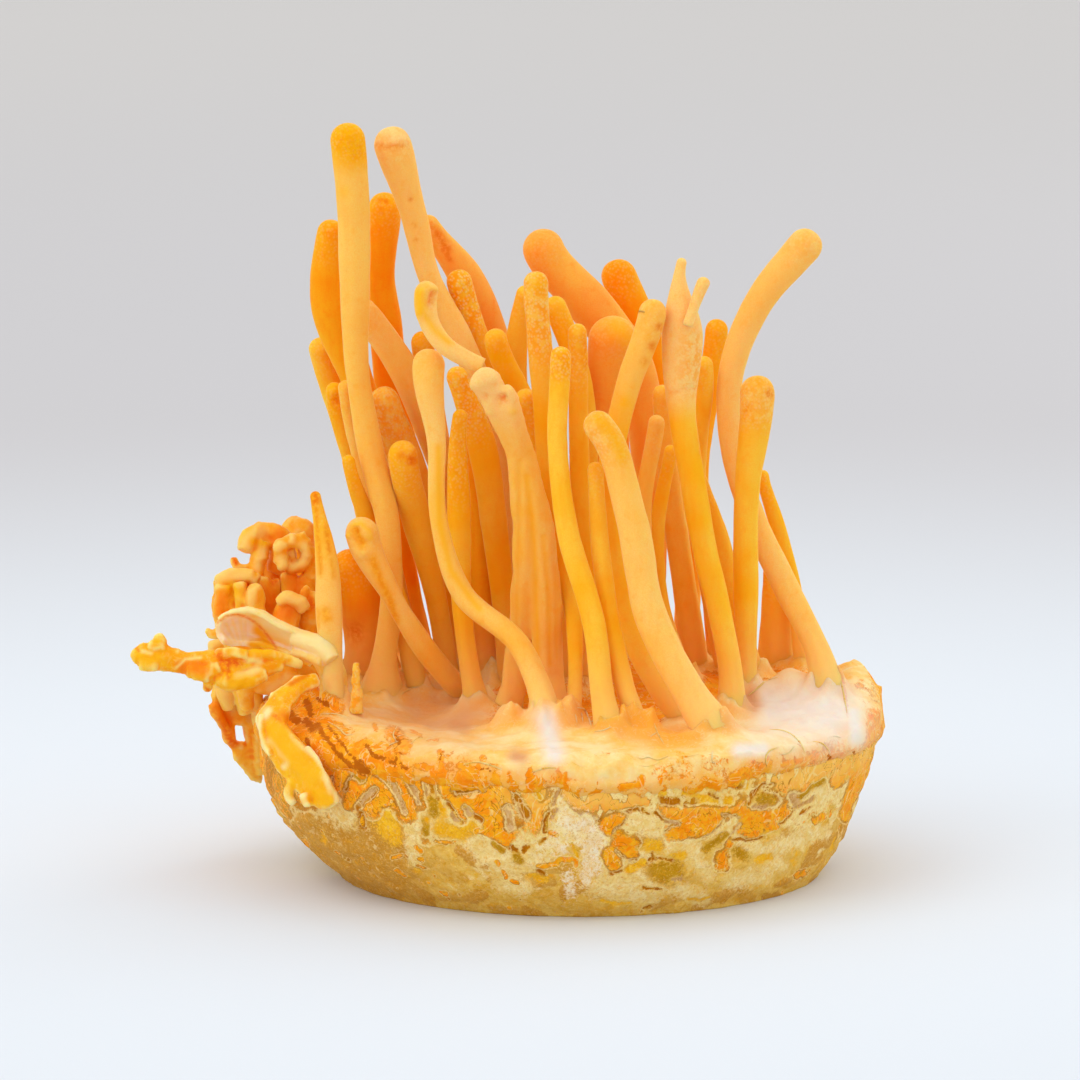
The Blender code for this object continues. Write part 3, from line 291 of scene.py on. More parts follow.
def glossy_flesh(name, pale, middle, deep, painted_crease_shade):
    """Misgrown lobe flesh: wetter and bare of down, so it shines. Thin edges and ridges are painted pale as light
    shining through them, and creases are painted deep as shade.
    Traits: painted rim light, painted crease shade, brown or red spots, yellow."""
    material, tree, shader = new_material(name)
    rim, painted_hollow_shade, scar, yellow = traits_of(tree)
    where = add(tree, "TexCoord").outputs["Object"]
    clouds = spread(tree, noise(tree, where, 3.2, 4.0, distortion=0.6), 0.34, 0.66)
    colour = blended(tree, clouds, middle, deep)
    streaks = spread(tree, noise(tree, where, 0.8, 4.0, 0.6, 1.4), 0.5, 0.72)
    colour = laid_over(tree, colour, streaks, pale, 0.3)
    colour = laid_over(tree, colour, yellow, "FFB606", 0.9)
    # Painted light on thin edges and ridges, painted shade in creases.
    colour = laid_over(tree, colour, rim, pale, 0.85)
    colour = laid_over(tree, colour, painted_hollow_shade, painted_crease_shade, 0.85)
    ragged = spread(tree, noise(tree, where, 0.6, 4.0, 0.6), 0.34, 0.56, 0.25, 1.0)
    colour = laid_over(tree, colour, product(tree, scar, ragged), "EC7006")
    tree.links.new(colour, shader.inputs["Base Color"])
    wrinkles = noise(tree, where, 0.7, 5.0, 0.6, 0.8)
    bumped(tree, shader, wrinkles, 0.55, 0.2)
    set_flesh_light(shader, 0.5, (3.0, 1.4, 0.3), 0.05, 0.45, 0.2)
    return material


def mycelium_felt(name):
    """Felted mycelium: matt, woolly and bright, because light scatters between its threads.
    Traits: orange skin of the felt with painted orange shade between the feet, white wool, brown stains, painted
    shade in hollows. Tints: painted glow of the feet."""
    material, tree, shader = new_material(name)
    rind_and_painted_shade, wool, stain, painted_hollow_shade = traits_of(tree)
    glow = traits_of(tree, "tints")[0]
    where = add(tree, "TexCoord").outputs["Object"]
    clouds = spread(tree, noise(tree, where, 4.5, 4.0), 0.35, 0.65)
    colour = blended(tree, clouds, "FFE09C", "FFC45A")
    # Painted light: orange glow from the feet.
    colour = laid_over(tree, colour, glow, "FFAA38")
    threads = spread(tree, noise(tree, where, 0.7, 4.0, 0.7, 1.6), 0.5, 0.7)
    colour = laid_over(tree, colour, threads, "FFEEC0", 0.3)
    fine = noise(tree, where, 0.5, 5.0, 0.68, 0.9)
    uneven = spread(tree, fine, 0.3, 0.7, -0.28, 0.28)
    orange = spread(tree, noise(tree, where, 1.8, 4.0, 0.6, 0.8), 0.38, 0.6)
    orange = blended(tree, orange, "FFAA1C", "FF9006")
    colour = laid_over(tree, colour, spread(tree, total(tree, rind_and_painted_shade, uneven), 0.35, 0.7), orange)
    skin = spread(tree, rind_and_painted_shade, 0.3, 0.7)
    burnt = outline(tree, total(tree, rind_and_painted_shade, spread(tree, fine, 0.3, 0.7, -0.12, 0.12)), 0.5, 0.16)
    some = spread(tree, noise(tree, where, 3.0, 3.0, 0.6, 0.5), 0.46, 0.56, 0.0, 0.65)
    colour = laid_over(tree, colour, product(tree, burnt, some), "DC8010")
    pale_veins = product(tree, skin, product(tree, veins(tree, where, 5.0, 0.016), 0.6))
    colour = laid_over(tree, colour, pale_veins, "FFE09C")
    aside = add(tree, "Mapping", {"Vector": where, "Location": (0.03, 0.01, 0.0)}).outputs[0]
    brown_veins = product(tree, skin, product(tree, veins(tree, aside, 4.5, 0.011), 0.6))
    colour = laid_over(tree, colour, brown_veins, "CC6C08")
    colour = laid_over(tree, colour, wool, "ECE6DE")
    # Painted shade in hollows, pinkish brown.
    colour = laid_over(tree, colour, painted_hollow_shade, "DC9A6A")
    colour = laid_over(tree, colour, spread(tree, total(tree, stain, uneven), 0.34, 0.72), "BE640A")
    tree.links.new(colour, shader.inputs["Base Color"])
    bumped(tree, shader, total(tree, fine, product(tree, noise(tree, where, 1.8, 3.0), 1.5)), 0.45, 0.2)
    set_flesh_light(shader, 0.5, (2.4, 1.3, 0.6), 0.2, 0.85, 0.1)
    return material


def rice_film(name):
    """Cooked rice grown through with mycelium: golden translucent grains under a film that is orange above and
    yellow and cream below. It tears open into brown slits with a pale core, where single grains show.
    Traits: orange, brown, pale core, cream. Tints: yellow, white, olive, and tone of the grain, darker on the left
    of the front partly as painted shade."""
    material, tree, shader = new_material(name)
    orange, brown, core, cream = traits_of(tree)
    yellow, white, olive, tone = traits_of(tree, "tints")
    where = add(tree, "TexCoord").outputs["Object"]
    fine = noise(tree, where, 0.5, 5.0, 0.68, 0.9)
    uneven = spread(tree, fine, 0.25, 0.75, -0.5, 0.5)
    mottled = spread(tree, noise(tree, where, 1.5, 5.0, 0.65, 1.2), 0.34, 0.64)
    colour = blended(tree, mottled, "E2AA38", "F0C664")
    # Darker by the grains' own tone, and on the left of the front partly by painted shade.
    colour = laid_over(tree, colour, spread(tree, tone, 0.2, 0.9, 0.0, 0.6), "BC700E")
    for cover, first, second, edge in ((cream, "FCE2A2", "F2CC74", 0.42), (yellow, "FFC62C", "F0A80C", 0.34),
                                       (olive, "B88208", "CC9618", 0.3), (orange, "FFB61C", "FF9004", 0.2),
                                       (white, "FFECCC", "F8D8A0", 0.3), (brown, "B86404", "CC8406", 0.2),
                                       (core, "E4BA80", "CC9650", 0.2)):
        shade = blended(tree, mottled, first, second)
        colour = blended(tree, spread(tree, total(tree, cover, uneven), 0.5 - edge, 0.5 + edge), colour, shade)
    # Painted light: the orange film is lightened towards its top under the felt, more so right of the middle.
    place = add(tree, "SeparateXYZ", {0: where}).outputs
    painted_top_light = spread(tree, place["Z"], 13.5 * MM, 17.5 * MM)
    painted_top_light = product(tree, painted_top_light, spread(tree, place["X"], -13 * MM, -6 * MM, 0.0, 0.7))
    colour = laid_over(tree, colour, product(tree, painted_top_light, orange), "FFCA64")
    torn = spread(tree, total(tree, orange, total(tree, brown, core)), 0.2, 0.6)
    aside = add(tree, "Mapping", {"Vector": where, "Location": (0.031, 0.017, 0.0),
                                  "Scale": (1.0, 1.0, 0.7)}).outputs[0]
    pale_veins = product(tree, torn, product(tree, veins(tree, aside, 5.5, 0.016), 0.7))
    colour = laid_over(tree, colour, pale_veins, "FFDC8C")
    brown_veins = product(tree, torn, product(tree, veins(tree, where, 4.5, 0.011), 0.8))
    colour = laid_over(tree, colour, brown_veins, "B86A08")
    patchy = spread(tree, noise(tree, aside, 3.2, 3.0, 0.6, 0.5), 0.44, 0.54)
    level = total(tree, orange, spread(tree, fine, 0.25, 0.75, -0.16, 0.16))
    near = spread(tree, orange, 0.02, 0.14)
    pale = product(tree, outline(tree, level, 0.16, 0.16), product(tree, near, 0.55))
    colour = laid_over(tree, colour, pale, "FFE8A0")
    burnt = product(tree, outline(tree, level, 0.42, 0.2), product(tree, near, product(tree, patchy, 0.6)))
    colour = laid_over(tree, colour, burnt, "B0680A")
    plain = spread(tree, torn, 0.0, 1.0, 1.0, 0.2)
    grit = spread(tree, noise(tree, where, 0.34, 3.0, 0.7, 0.6), 0.52, 0.66, 0.0, 0.35)
    colour = laid_over(tree, colour, product(tree, grit, plain), "C88416")
    specks = spread(tree, noise(tree, where, 0.28, 3.0, 0.6), 0.56, 0.68, 0.0, 0.4)
    colour = laid_over(tree, colour, product(tree, specks, plain), "FFE080")
    golden_threads = product(tree, veins(tree, aside, 2.4, 0.02), product(tree, plain, 0.5))
    colour = laid_over(tree, colour, golden_threads, "F4AE24")
    tree.links.new(colour, shader.inputs["Base Color"])
    bumped(tree, shader, fine, 0.5, 0.22)
    set_flesh_light(shader, 0.22, (1.3, 0.8, 0.4), 0.0, 0.6, 0.06)
    return material


PALE_FLESH = velvet_flesh("cordyceps_flesh_pale", "FFCA66", "FFBE4C", "FFA420")
ORANGE_FLESH = velvet_flesh("cordyceps_flesh_orange", "FFC640", "FFB61A", "FFA002")
# The deep flesh is partly the deeper orange of some fingers and partly painted shade for fingers that stand in the
# shade of others.
DEEP_AND_SHADED_FLESH = velvet_flesh("cordyceps_flesh_deep_and_shaded", "FFB41C", "FF9A04", "FF8200")
GLOSSY_FLESH = glossy_flesh("wet_lobe_flesh", "FFDE84", "FFBC06", "FFA800", "F88400")
LEAF_FLESH = glossy_flesh("wet_leaf_flesh", "FFE8A8", "FFBC10", "FFA804", "EE7E06")
CURLED_FLESH = glossy_flesh("curled_lobe_flesh", "FFD074", "FFBC34", "FFA612", "F88408")
# The ear's crease colour is pale: painted light that lifts the shade inside the ear.
EAR_FLESH = glossy_flesh("ear_lobe_flesh", "FFE2A0", "FFD068", "FFC24C", "FFE6D4")
FELT = mycelium_felt("mycelium_felt")
RICE = rice_film("grown_through_rice")
FLESH_OF_SLOT = {
    "orange_flesh": ORANGE_FLESH,
    "pale_orange_flesh": PALE_FLESH,
    "deep_orange_flesh": DEEP_AND_SHADED_FLESH,
}
SLOT_OF_NODE = {row["node"]: row["material_slot"] for row in frame["record"]["subparts"]}


# ---------------------------------------------------------------- making pieces

def new_piece(name, points, faces, traits, material, node=None, tints=None):
    """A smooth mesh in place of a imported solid, or beside it."""
    mesh = bpy.data.meshes.new(name)
    mesh.from_pydata((np.asarray(points) * MM).tolist(), [], faces)
    mesh.polygons.foreach_set("use_smooth", np.ones(len(mesh.polygons), dtype=bool))
    for title, values in (("traits", traits), ("tints", tints)):
        if values is not None:
            layer = mesh.color_attributes.new(title, "FLOAT_COLOR", "POINT")
            layer.data.foreach_set("color", np.clip(values, 0.0, 1.0).astype(np.float32).ravel())
    mesh.materials.append(material)
    piece = bpy.data.objects.new(name, mesh)
    bpy.context.scene.collection.objects.link(piece)
    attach(piece, BODY)
    if node:
        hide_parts(node)
    return piece


def packed(node):
    """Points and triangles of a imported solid, its corners joined."""
    mesh = frame["nodes"][node].data
    points = np.empty(len(mesh.vertices) * 3)
    mesh.vertices.foreach_get("co", points)
    points = points.reshape(-1, 3) / MM
    kept, place = np.unique(np.round(points, 3), axis=0, return_inverse=True)
    place = place.reshape(-1)
    mesh.calc_loop_triangles()
    corners = np.empty(len(mesh.loop_triangles) * 3, dtype=np.int32)
    mesh.loop_triangles.foreach_get("vertices", corners)
    triangles = place[corners.reshape(-1, 3)]
    whole = (triangles[:, 0] != triangles[:, 1]) & (triangles[:, 1] != triangles[:, 2]) & (
        triangles[:, 0] != triangles[:, 2])
    return kept, triangles[whole]


def rings_of(points, triangles):
    """The rings that a finger's solid is made of, foot first, and its tip."""
    near = [set() for _ in points]
    for a, b, c in triangles.tolist():
        near[a] |= {b, c}
        near[b] |= {a, c}
        near[c] |= {a, b}
    for start in np.argsort(-np.linalg.norm(points - points.mean(axis=0), axis=1)).tolist():
        levels, seen = [[start]], {start}
        while levels[-1]:
            following = sorted(set().union(*(near[place] for place in levels[-1])) - seen)
            seen |= set(following)
            levels.append(following)
        levels.pop()
        sides = len(levels[1])
        if sides not in (6, 8) or {len(level) for level in levels[1:-1]} != {sides}:
            continue
        if len(levels[-1]) == sides:
            return levels[:0:-1], start
        if len(levels[-1]) == 1:
            if points[start][2] > points[levels[-1][0]][2]:
                return levels[-2:0:-1], start
            return levels[1:-1], levels[-1][0]
    raise ValueError("no rings found")


def smooth_rows(rows, wanted):
    """Rows of values read at distances along their line, on a curve that passes through every row."""
    steps = np.linalg.norm(np.diff(rows[:, :3], axis=0), axis=1)
    at = np.concatenate([[0.0], np.cumsum(steps)])
    slopes = np.gradient(rows, at, axis=0)
    left = np.clip(np.searchsorted(at, wanted, side="right") - 1, 0, len(at) - 2)
    span = (at[left + 1] - at[left])[:, None]
    t = (wanted - at[left])[:, None] / span
    return (rows[left] * (2 * t ** 3 - 3 * t ** 2 + 1) + slopes[left] * span * (t ** 3 - 2 * t ** 2 + t)
            + rows[left + 1] * (3 * t ** 2 - 2 * t ** 3) + slopes[left + 1] * span * (t ** 3 - t ** 2))


# Marks on a piece as seen from the front: line on the sheet, width, depth pressed in, scar, yellow, grain.
MARKS = {
    "finger_tallest": (
        (((-31.0, 97.8), (-30.0, 96.2)), 2.4, 0.0, 0.2, 0.95, 1.0),
        (((-29.8, 95.6),), 1.3, 0.0, 0.35, 0.3, 0.6), (((-31.6, 90.0),), 0.9, 0.0, 0.0, 0.5, 0.0),
    ),
    "finger_flat_topped": (
        (((-27.2, 96.2), (-25.2, 95.9), (-23.4, 96.2)), 0.45, 0.22, 0.55, 0.0, 0.0),
        (((-22.6, 89.0),), 0.35, 0.2, 0.7, 0.0, 0.0), (((-22.1, 85.6),), 0.4, 0.15, 0.55, 0.2, 0.0),
        (((-21.9, 83.6),), 0.35, 0.12, 0.5, 0.2, 0.0),
    ),
    "finger_deep_orange": (
        (((-27.2, 88.9), (-25.8, 88.7)), 0.35, 0.2, 0.95, 0.0, 0.0),
        (((-26.6, 87.6),), 0.5, 0.0, 0.6, 0.0, 0.0),
    ),
    "finger_fat_diagonal": (
        (((-18.9, 84.4), (-17.6, 82.2)), 0.6, 0.2, 0.9, 0.0, 0.0),
        (((-18.3, 82.4), (-17.3, 80.9)), 0.4, 0.15, 0.8, 0.0, 0.0),
        (((-20.0, 85.6), (-19.2, 84.6)), 0.5, 0.1, 0.5, 0.0, 0.0),
    ),
    "finger_hooked_branch": (
        # On the hooked branch the yellow marks on the head and along the arm are painted highlights.
        (((-19.5, 76.4), (-19.8, 75.2)), 0.55, 0.8, 0.6, 0.0, 0.0),
        (((-21.3, 76.6), (-21.2, 74.0)), 0.9, -0.3, 0.0, 1.0, 0.0),
        (((-19.2, 77.2),), 0.7, -0.35, 0.0, 0.4, 0.0),
        (((-20.6, 73.4), (-19.4, 71.6), (-17.4, 70.0)), 0.55, 0.1, 0.0, 0.85, 0.0),
        (((-20.4, 77.3),), 0.6, 0.0, 0.0, 0.6, 0.0),
    ),
    "finger_s_bend": (
        (((-20.3, 66.0),), 2.6, -0.1, 0.0, 0.35, 0.0),
        (((-18.9, 56.0), (-18.7, 46.0), (-17.2, 39.5), (-13.5, 34.5)), 0.55, 0.1, 0.0, 0.8, 0.0),
    ),
    "finger_brown_scar": (
        (((-22.2, 54.2),), 0.75, 0.35, 1.0, 0.0, 0.0), (((-23.8, 54.8),), 0.8, 0.0, 0.6, 0.2, 0.0),
    ),
    "finger_red_spot": (
        (((-32.5, 62.2),), 0.9, 0.2, 0.8, 0.0, 0.0),
    ),
    "finger_spoon": (
        (((-30.1, 44.7), (-29.6, 43.6), (-29.0, 43.1)), 0.75, 1.0, 0.5, 1.0, 0.0),
        (((-30.9, 44.2), (-30.2, 45.6), (-29.2, 45.9), (-28.3, 45.0), (-28.0, 43.8)), 0.4, -0.35, 0.0, 0.7,
         0.0), (((-28.9, 41.9),), 0.7, -0.45, 0.0, 0.0, 0.0),
        (((-27.6, 40.8), (-26.6, 38.2), (-25.4, 35.6), (-24.6, 33.0)), 0.6, 0.12, 0.5, 0.8, 0.6),
    ),
    "finger_spike": (
        (((-35.4, 50.0), (-35.4, 48.8)), 0.8, 0.06, 0.95, 0.3, 0.4),
        (((-35.2, 47.6), (-34.9, 43.0), (-34.6, 39.0)), 0.35, 0.08, 0.55, 0.5, 0.0),
        (((-33.8, 45.0), (-33.4, 42.0)), 0.4, 0.05, 0.6, 0.4, 0.0),
        (((-33.2, 41.0), (-32.8, 38.6)), 0.3, -0.12, 0.4, 0.4, 0.0),
        (((-34.0, 34.0), (-33.8, 33.2)), 0.8, 0.0, 0.45, 0.8, 0.2),
        (((-35.0, 34.6), (-34.9, 32.0)), 0.25, 0.05, 0.4, 0.5, 0.0),
    ),
    "finger_thick_arch": (
        (((-30.2, 31.0),), 1.6, 0.9, 0.75, 0.0, 0.0),
    ),
    "finger_yellow_band": (
        (((-12.2, 68.2), (-9.9, 67.6)), 0.8, 0.0, 0.0, 1.0, 0.0),
    ),
    "finger_great_arch": (
        (((2.6, 59.6), (4.6, 57.2), (5.6, 54.8)), 1.1, 0.0, 0.1, 0.8, 0.8),
    ),
    "finger_long_bow": (
        (((10.7, 72.0),), 0.6, 0.2, 0.9, 0.0, 0.0), (((9.7, 69.4),), 0.7, 0.2, 0.85, 0.0, 0.0),
        (((10.8, 69.0),), 0.4, 0.1, 0.6, 0.0, 0.0), (((8.6, 67.4),), 0.6, 0.1, 0.6, 0.1, 0.0),
        (((6.0, 62.0),), 0.9, 0.0, 0.0, 0.8, 0.3),
    ),
    "finger_forked": (
        (((15.4, 69.6), (15.2, 65.0)), 2.4, 0.0, 0.0, 0.0, 0.8),
        (((16.0, 64.0), (16.4, 59.0), (16.2, 55.0)), 0.5, 0.1, 0.3, 0.3, 0.3),
        (((12.0, 63.4), (14.9, 63.8)), 0.35, 0.15, 0.2, 0.0, 0.4),
    ),
    "finger_right_club": (
        (((25.4, 63.0),), 0.6, 0.25, 1.0, 0.0, 0.0), (((22.2, 61.0),), 0.5, 0.0, 0.5, 0.2, 0.0),
        (((23.5, 64.6),), 1.2, 0.0, 0.2, 0.4, 0.6),
    ),
    "finger_straight_middle": (
        (((1.0, 69.6), (1.2, 66.4)), 0.8, 0.12, 0.35, 0.2, 0.8),
    ),
    "finger_ball_headed": (
        (((5.0, 71.6), (7.4, 70.0)), 1.6, 0.0, 0.0, 0.7, 0.2),
    ),
    "finger_far_left": (
        (((-36.4, 70.6),), 0.7, 0.0, 0.3, 0.2, 0.0),
    ),
    "finger_grainy_middle": (
        (((-5.6, 77.6),), 1.4, 0.0, 0.0, 0.6, 0.4),
    ),
    "finger_grainy_front": (
        (((-2.6, 66.8),), 1.3, 0.0, 0.45, 0.2, 0.8),
    ),
    "finger_broad_fused": (
        (((-10.4, 62.4),), 0.8, 1.1, 0.8, 0.0, 0.0), (((-13.9, 64.4),), 0.8, -0.5, 0.0, 0.0, 0.0),
        (((-11.6, 65.2),), 0.7, -0.5, 0.0, 0.0, 0.0), (((-9.4, 64.4),), 0.8, -0.5, 0.0, 0.3, 0.0),
        (((-12.6, 62.6),), 0.6, 0.45, 0.1, 0.0, 0.0), (((-12.2, 60.6),), 0.6, -0.3, 0.0, 0.0, 0.0),
        (((-9.0, 60.8),), 0.6, -0.35, 0.0, 0.5, 0.0),
        (((-7.2, 52.0), (-6.4, 46.0), (-6.0, 38.0), (-5.8, 28.0)), 0.45, 0.3, 0.0, 0.7, 0.0),
        (((-8.0, 54.0), (-8.2, 44.0), (-8.6, 32.0)), 0.4, 0.22, 0.0, 0.35, 0.0),
        (((-4.9, 44.0), (-4.2, 36.0), (-4.0, 27.0)), 0.35, 0.25, 0.1, 0.6, 0.0),
        (((-3.2, 40.0), (-3.0, 28.0)), 0.3, 0.15, 0.0, 0.3, 0.0),
    ),
}
# Fingers painted paler over part of their height: partly paler flesh, partly painted light that lifts the shade the
# fingers cast on one another. How much, from which height and to which.
PALENESS_AND_PAINTED_LIGHT = {
    "finger_fat_diagonal": (0.3, 20.0, 50.0), "finger_flat_topped": (0.35, 20.0, 50.0),
    "finger_fat_blurred": (0.25, 20.0, 50.0), "finger_far_right": (0.3, 20.0, 50.0),
    "finger_behind_fork": (0.2, 20.0, 50.0), "finger_ball_headed": (0.25, 20.0, 50.0),
    "finger_pale_diagonal": (0.2, 20.0, 50.0), "finger_tallest": (0.35, 96.0, 92.0),
    "finger_forked": (0.75, 61.0, 66.0), "finger_fork_prong": (0.8, 60.0, 62.0),
    "finger_long_bow": (0.35, 58.0, 68.0), "finger_right_club": (0.35, 58.0, 65.0),
    "finger_s_bend": (0.3, 50.0, 60.0), "finger_spike": (0.5, 48.0, 38.0),
    "finger_hooked_branch": (0.55, 60.0, 66.0), "finger_spoon": (0.25, 30.0, 40.0),
    "finger_grainy_middle": (0.2, 60.0, 76.0), "finger_thick_club": (0.2, 40.0, 50.0),
    "finger_great_arch": (0.15, 20.0, 40.0),
}
# Tips that have dried pale: how much, and from which height on the sheet to which.
PALE_TIPS = {"finger_flat_topped": (0.8, 95.6, 96.8)}
# Fertile heads whose grain shows: length from the tip, strength.
GRAINY_HEADS = {
    "finger_tallest": (4.5, 0.8), "finger_grainy_left": (13.0, 1.0), "finger_grainy_middle": (16.0, 0.9),
    "finger_grainy_front": (6.0, 0.9), "finger_behind_pointed": (13.0, 0.8), "finger_thick_club": (13.0, 0.8),
    "finger_forked": (0.5, 0.0), "finger_straight_middle": (12.0, 0.5), "finger_right_club": (9.0, 0.6),
    "finger_great_arch": (10.0, 0.6), "finger_brown_scar": (10.0, 0.4), "finger_tucked": (10.0, 0.5),
    "finger_pointed": (16.0, 0.5),
}
DEFAULT_GRAIN = (7.0, 0.3)
# Fingers that flare widely where they leave the felt: flare in foot radii, and how high it reaches.
WIDE_FEET = {"finger_great_arch": (0.3, 5.0), "finger_tallest": (0.5, 6.5), "finger_forked": (0.2, 5.0),
             "finger_grainy_front": (0.15, 3.0), "finger_s_bend": (0.25, 4.0)}
DEFAULT_FLARE = (0.08, 2.6)

# Fingers without a foot of their own in the felt, and the one whose two strands grew together: its feet are
# x, y and radius.
FLOATING_FINGERS = ("finger_hooked_branch", "finger_fork_prong")
FUSED_FINGER = "finger_broad_fused"
FUSED_FEET = ((-9.6, -22.5, 1.6), (-4.2, -23.5, 2.3))

CELL = 0.42                         # along and around a finger
FEWEST_SIDES, MOST_SIDES = 20, 44
CAP_ROWS = 10
FOOT_SINK = 1.7                     # how far a foot reaches below where its solid stops
CAP_SQUARENESS = 2.15
PALE_REACH = 26.0                   # the flesh pales from here down to the felt
SINK_ROWS = 4


def pressed(points, outward, node):
    """How far a piece's marks press its surface in, and the scar, yellow and grain that they leave."""
    seen = on_sheet(points)
    facing = ease(-(outward @ AWAY), 0.0, 0.35)
    depth, scar, yellow, grain = (np.zeros(points.shape[:-1]) for _ in range(4))
    for line, width, deep, brown, gold, grained in MARKS.get(node, ()):
        near = np.exp(-(from_line(seen, line) / width) ** 2) * facing
        depth += near * deep
        scar = np.maximum(scar, near * brown)
        yellow = np.maximum(yellow, near * gold)
        grain = np.maximum(grain, near * grained)
    return depth, scar, yellow, grain


def square_to(along):
    """The directions square to a line's own: the one across as seen from the front, and the one in depth."""
    along = along / np.linalg.norm(along, axis=-1, keepdims=True)
    across = np.cross(along, AWAY)
    across /= np.linalg.norm(across, axis=-1, keepdims=True)
    return across, np.cross(across, along)


def finger_rows(node):
    """Middle line of a finger and its half widths across and in depth, foot first."""
    points, triangles = packed(node)
    rings, tip = rings_of(points, triangles)
    middles = [points[ring].mean(axis=0) for ring in rings]
    line = np.array(middles + [points[tip]])
    slopes = np.gradient(line, axis=0)
    rows = []
    for place, ring in enumerate(rings):
        across, deep = square_to(slopes[place])
        away = points[ring] - middles[place]
        if place == 0:
            half = np.linalg.norm(away, axis=1).mean()
            rows.append([*middles[place], half, half])
        else:
            fullness = 1.0 / math.cos(math.pi / 6) if len(ring) == 6 else 1.0
            rows.append([*middles[place], np.abs(away @ across).max(), np.abs(away @ deep).max() * fullness])
    rows.append([*points[tip], 0.0, 0.0])
    rows[-2][3:] = rows[-3][3:]
    rows[-1][3:] = rows[-3][3:]
    return np.array(rows)


def tube_faces(rows, sides):
    """The four-sided faces of rows of points that go round."""
    low = np.arange(rows - 1)[:, None] * sides + np.arange(sides)[None, :]
    after = np.arange(rows - 1)[:, None] * sides + (np.arange(sides)[None, :] + 1) % sides
    return np.stack([after, low, low + sides, after + sides], axis=-1).reshape(-1, 4).tolist()


def finger_line(node, on_felt):
    """A finger in fine rows, from a foot sunk into the felt to a round tip: middle line and half widths, how far
    each row is from the foot, the finger's length, and the point of its tip."""
    rows = finger_rows(node)
    length = np.linalg.norm(np.diff(rows[:, :3], axis=0), axis=1).sum()
    cap = rows[-1, 3] * 1.05
    body = np.arange(0.0, length - cap, CELL)
    turn = np.linspace(0.0, math.pi / 2, CAP_ROWS + 1)[:-1]
    wanted = np.concatenate([body, length - cap + cap * np.sin(turn) ** (2 / CAP_SQUARENESS)])
    fullness = np.concatenate([np.ones(len(body)), np.cos(turn) ** (2 / CAP_SQUARENESS)])
    fine = smooth_rows(rows, wanted)
    fine[:, 3:] *= fullness[:, None]
    if on_felt:
        flare, flare_reach = WIDE_FEET.get(node, DEFAULT_FLARE)
        fine[:, 3:] *= (1.0 + flare * np.exp(-wanted / flare_reach))[:, None]
    sunk = np.linspace(-FOOT_SINK, 0.0, SINK_ROWS, endpoint=False)
    start = np.repeat(fine[:1], SINK_ROWS, axis=0)
    if on_felt:
        heading = np.array([0.0, 0.0, 1.0])
        start[:, 3:] *= 1.0 - 0.1 * sunk[:, None]
    else:
        heading = fine[1, :3] - fine[0, :3]
        heading /= np.linalg.norm(heading)
    start[:, :3] += sunk[:, None] * heading
    tip = smooth_rows(rows, np.array([length]))[:, :3]
    return np.concatenate([start, fine]), np.concatenate([sunk, wanted]), length, tip


def build_finger(node, seed, material, on_felt):
    """A finger in velvety flesh, with its swellings, flutes, grain and marks."""
    fine, rise, length, tip = finger_line(node, on_felt)
    middles = fine[:, :3]
    across, deep = square_to(np.gradient(middles, axis=0))
    sides = int(np.clip(round(fine[:, 3].max() * 2 * math.pi / CELL), FEWEST_SIDES, MOST_SIDES))
    angle = np.linspace(0.0, math.tau, sides, endpoint=False)
    outward = (across[:, None] * np.cos(angle)[None, :, None] + deep[:, None] * np.sin(angle)[None, :, None])
    ring = (across[:, None] * (fine[:, 3][:, None] * np.cos(angle))[..., None]
            + deep[:, None] * (fine[:, 4][:, None] * np.sin(angle))[..., None])
    points = middles[:, None] + ring

    radius = fine[:, 3][:, None]
    to_tip = (length - rise)[:, None]
    swell = 0.055 * radius * lumps(points + seed * 7.3, 5.0, seed) + 0.03 * lumps(points, 1.6, seed + 1)
    fluted = np.stack(np.broadcast_arrays(np.cos(angle)[None, :] * 2.2, np.sin(angle)[None, :] * 2.2,
                                          rise[:, None] / 16.0 + seed * 3.7), axis=-1)
    swell += 0.07 * lumps(fluted, 1.0, seed + 2) * ease(to_tip, 4.0, 14.0)
    grain_length, grain_strength = GRAINY_HEADS.get(node, DEFAULT_GRAIN)
    grain = grain_strength * (1.0 - ease(to_tip, grain_length * 0.45, grain_length))
    grain = np.broadcast_to(grain, points.shape[:-1])
    swell += 0.045 * grain * lumps(points, 0.75, seed + 3)
    depth, scar, yellow, marked = pressed(points, outward, node)
    points = points + outward * (swell - depth)[..., None]
    share = np.clip(rise / PALE_REACH, 0.0, 1.0) if on_felt else np.ones(len(rise))
    share = np.broadcast_to(share[:, None], points.shape[:-1])
    traits = np.stack([share, np.maximum(grain, marked), scar, yellow], axis=-1).reshape(-1, 4)
    flat = np.concatenate([points.reshape(-1, 3), tip])
    traits = np.concatenate([traits, traits[-1:]])
    faces = tube_faces(len(fine), sides)
    last = (len(fine) - 1) * sides
    faces += [(last + (side + 1) % sides, last + side, len(flat) - 1) for side in range(sides)]
    faces.append(tuple(range(sides)))
    pale = np.zeros((len(flat), 4))
    # Paler over part of the height, partly painted light.
    paler, none, full = PALENESS_AND_PAINTED_LIGHT.get(node, (0.0, 0.0, 1.0))
    pale[:, 0] = paler * ease(flat[:, 2], none, full)
    if node in PALE_TIPS:
        most, low, high = PALE_TIPS[node]
        pale[:, 0] = np.maximum(pale[:, 0], most * ease(on_sheet(flat)[:, 1], low, high))
    return new_piece(node + "_flesh", flat, faces, traits, material, node, tints=pale)


# ---------------------------------------------------------------- pieces remade in fine cells

FOLD_SIDES, THREAD_SIDES, SPINE_SIDES = 10, 6, 16

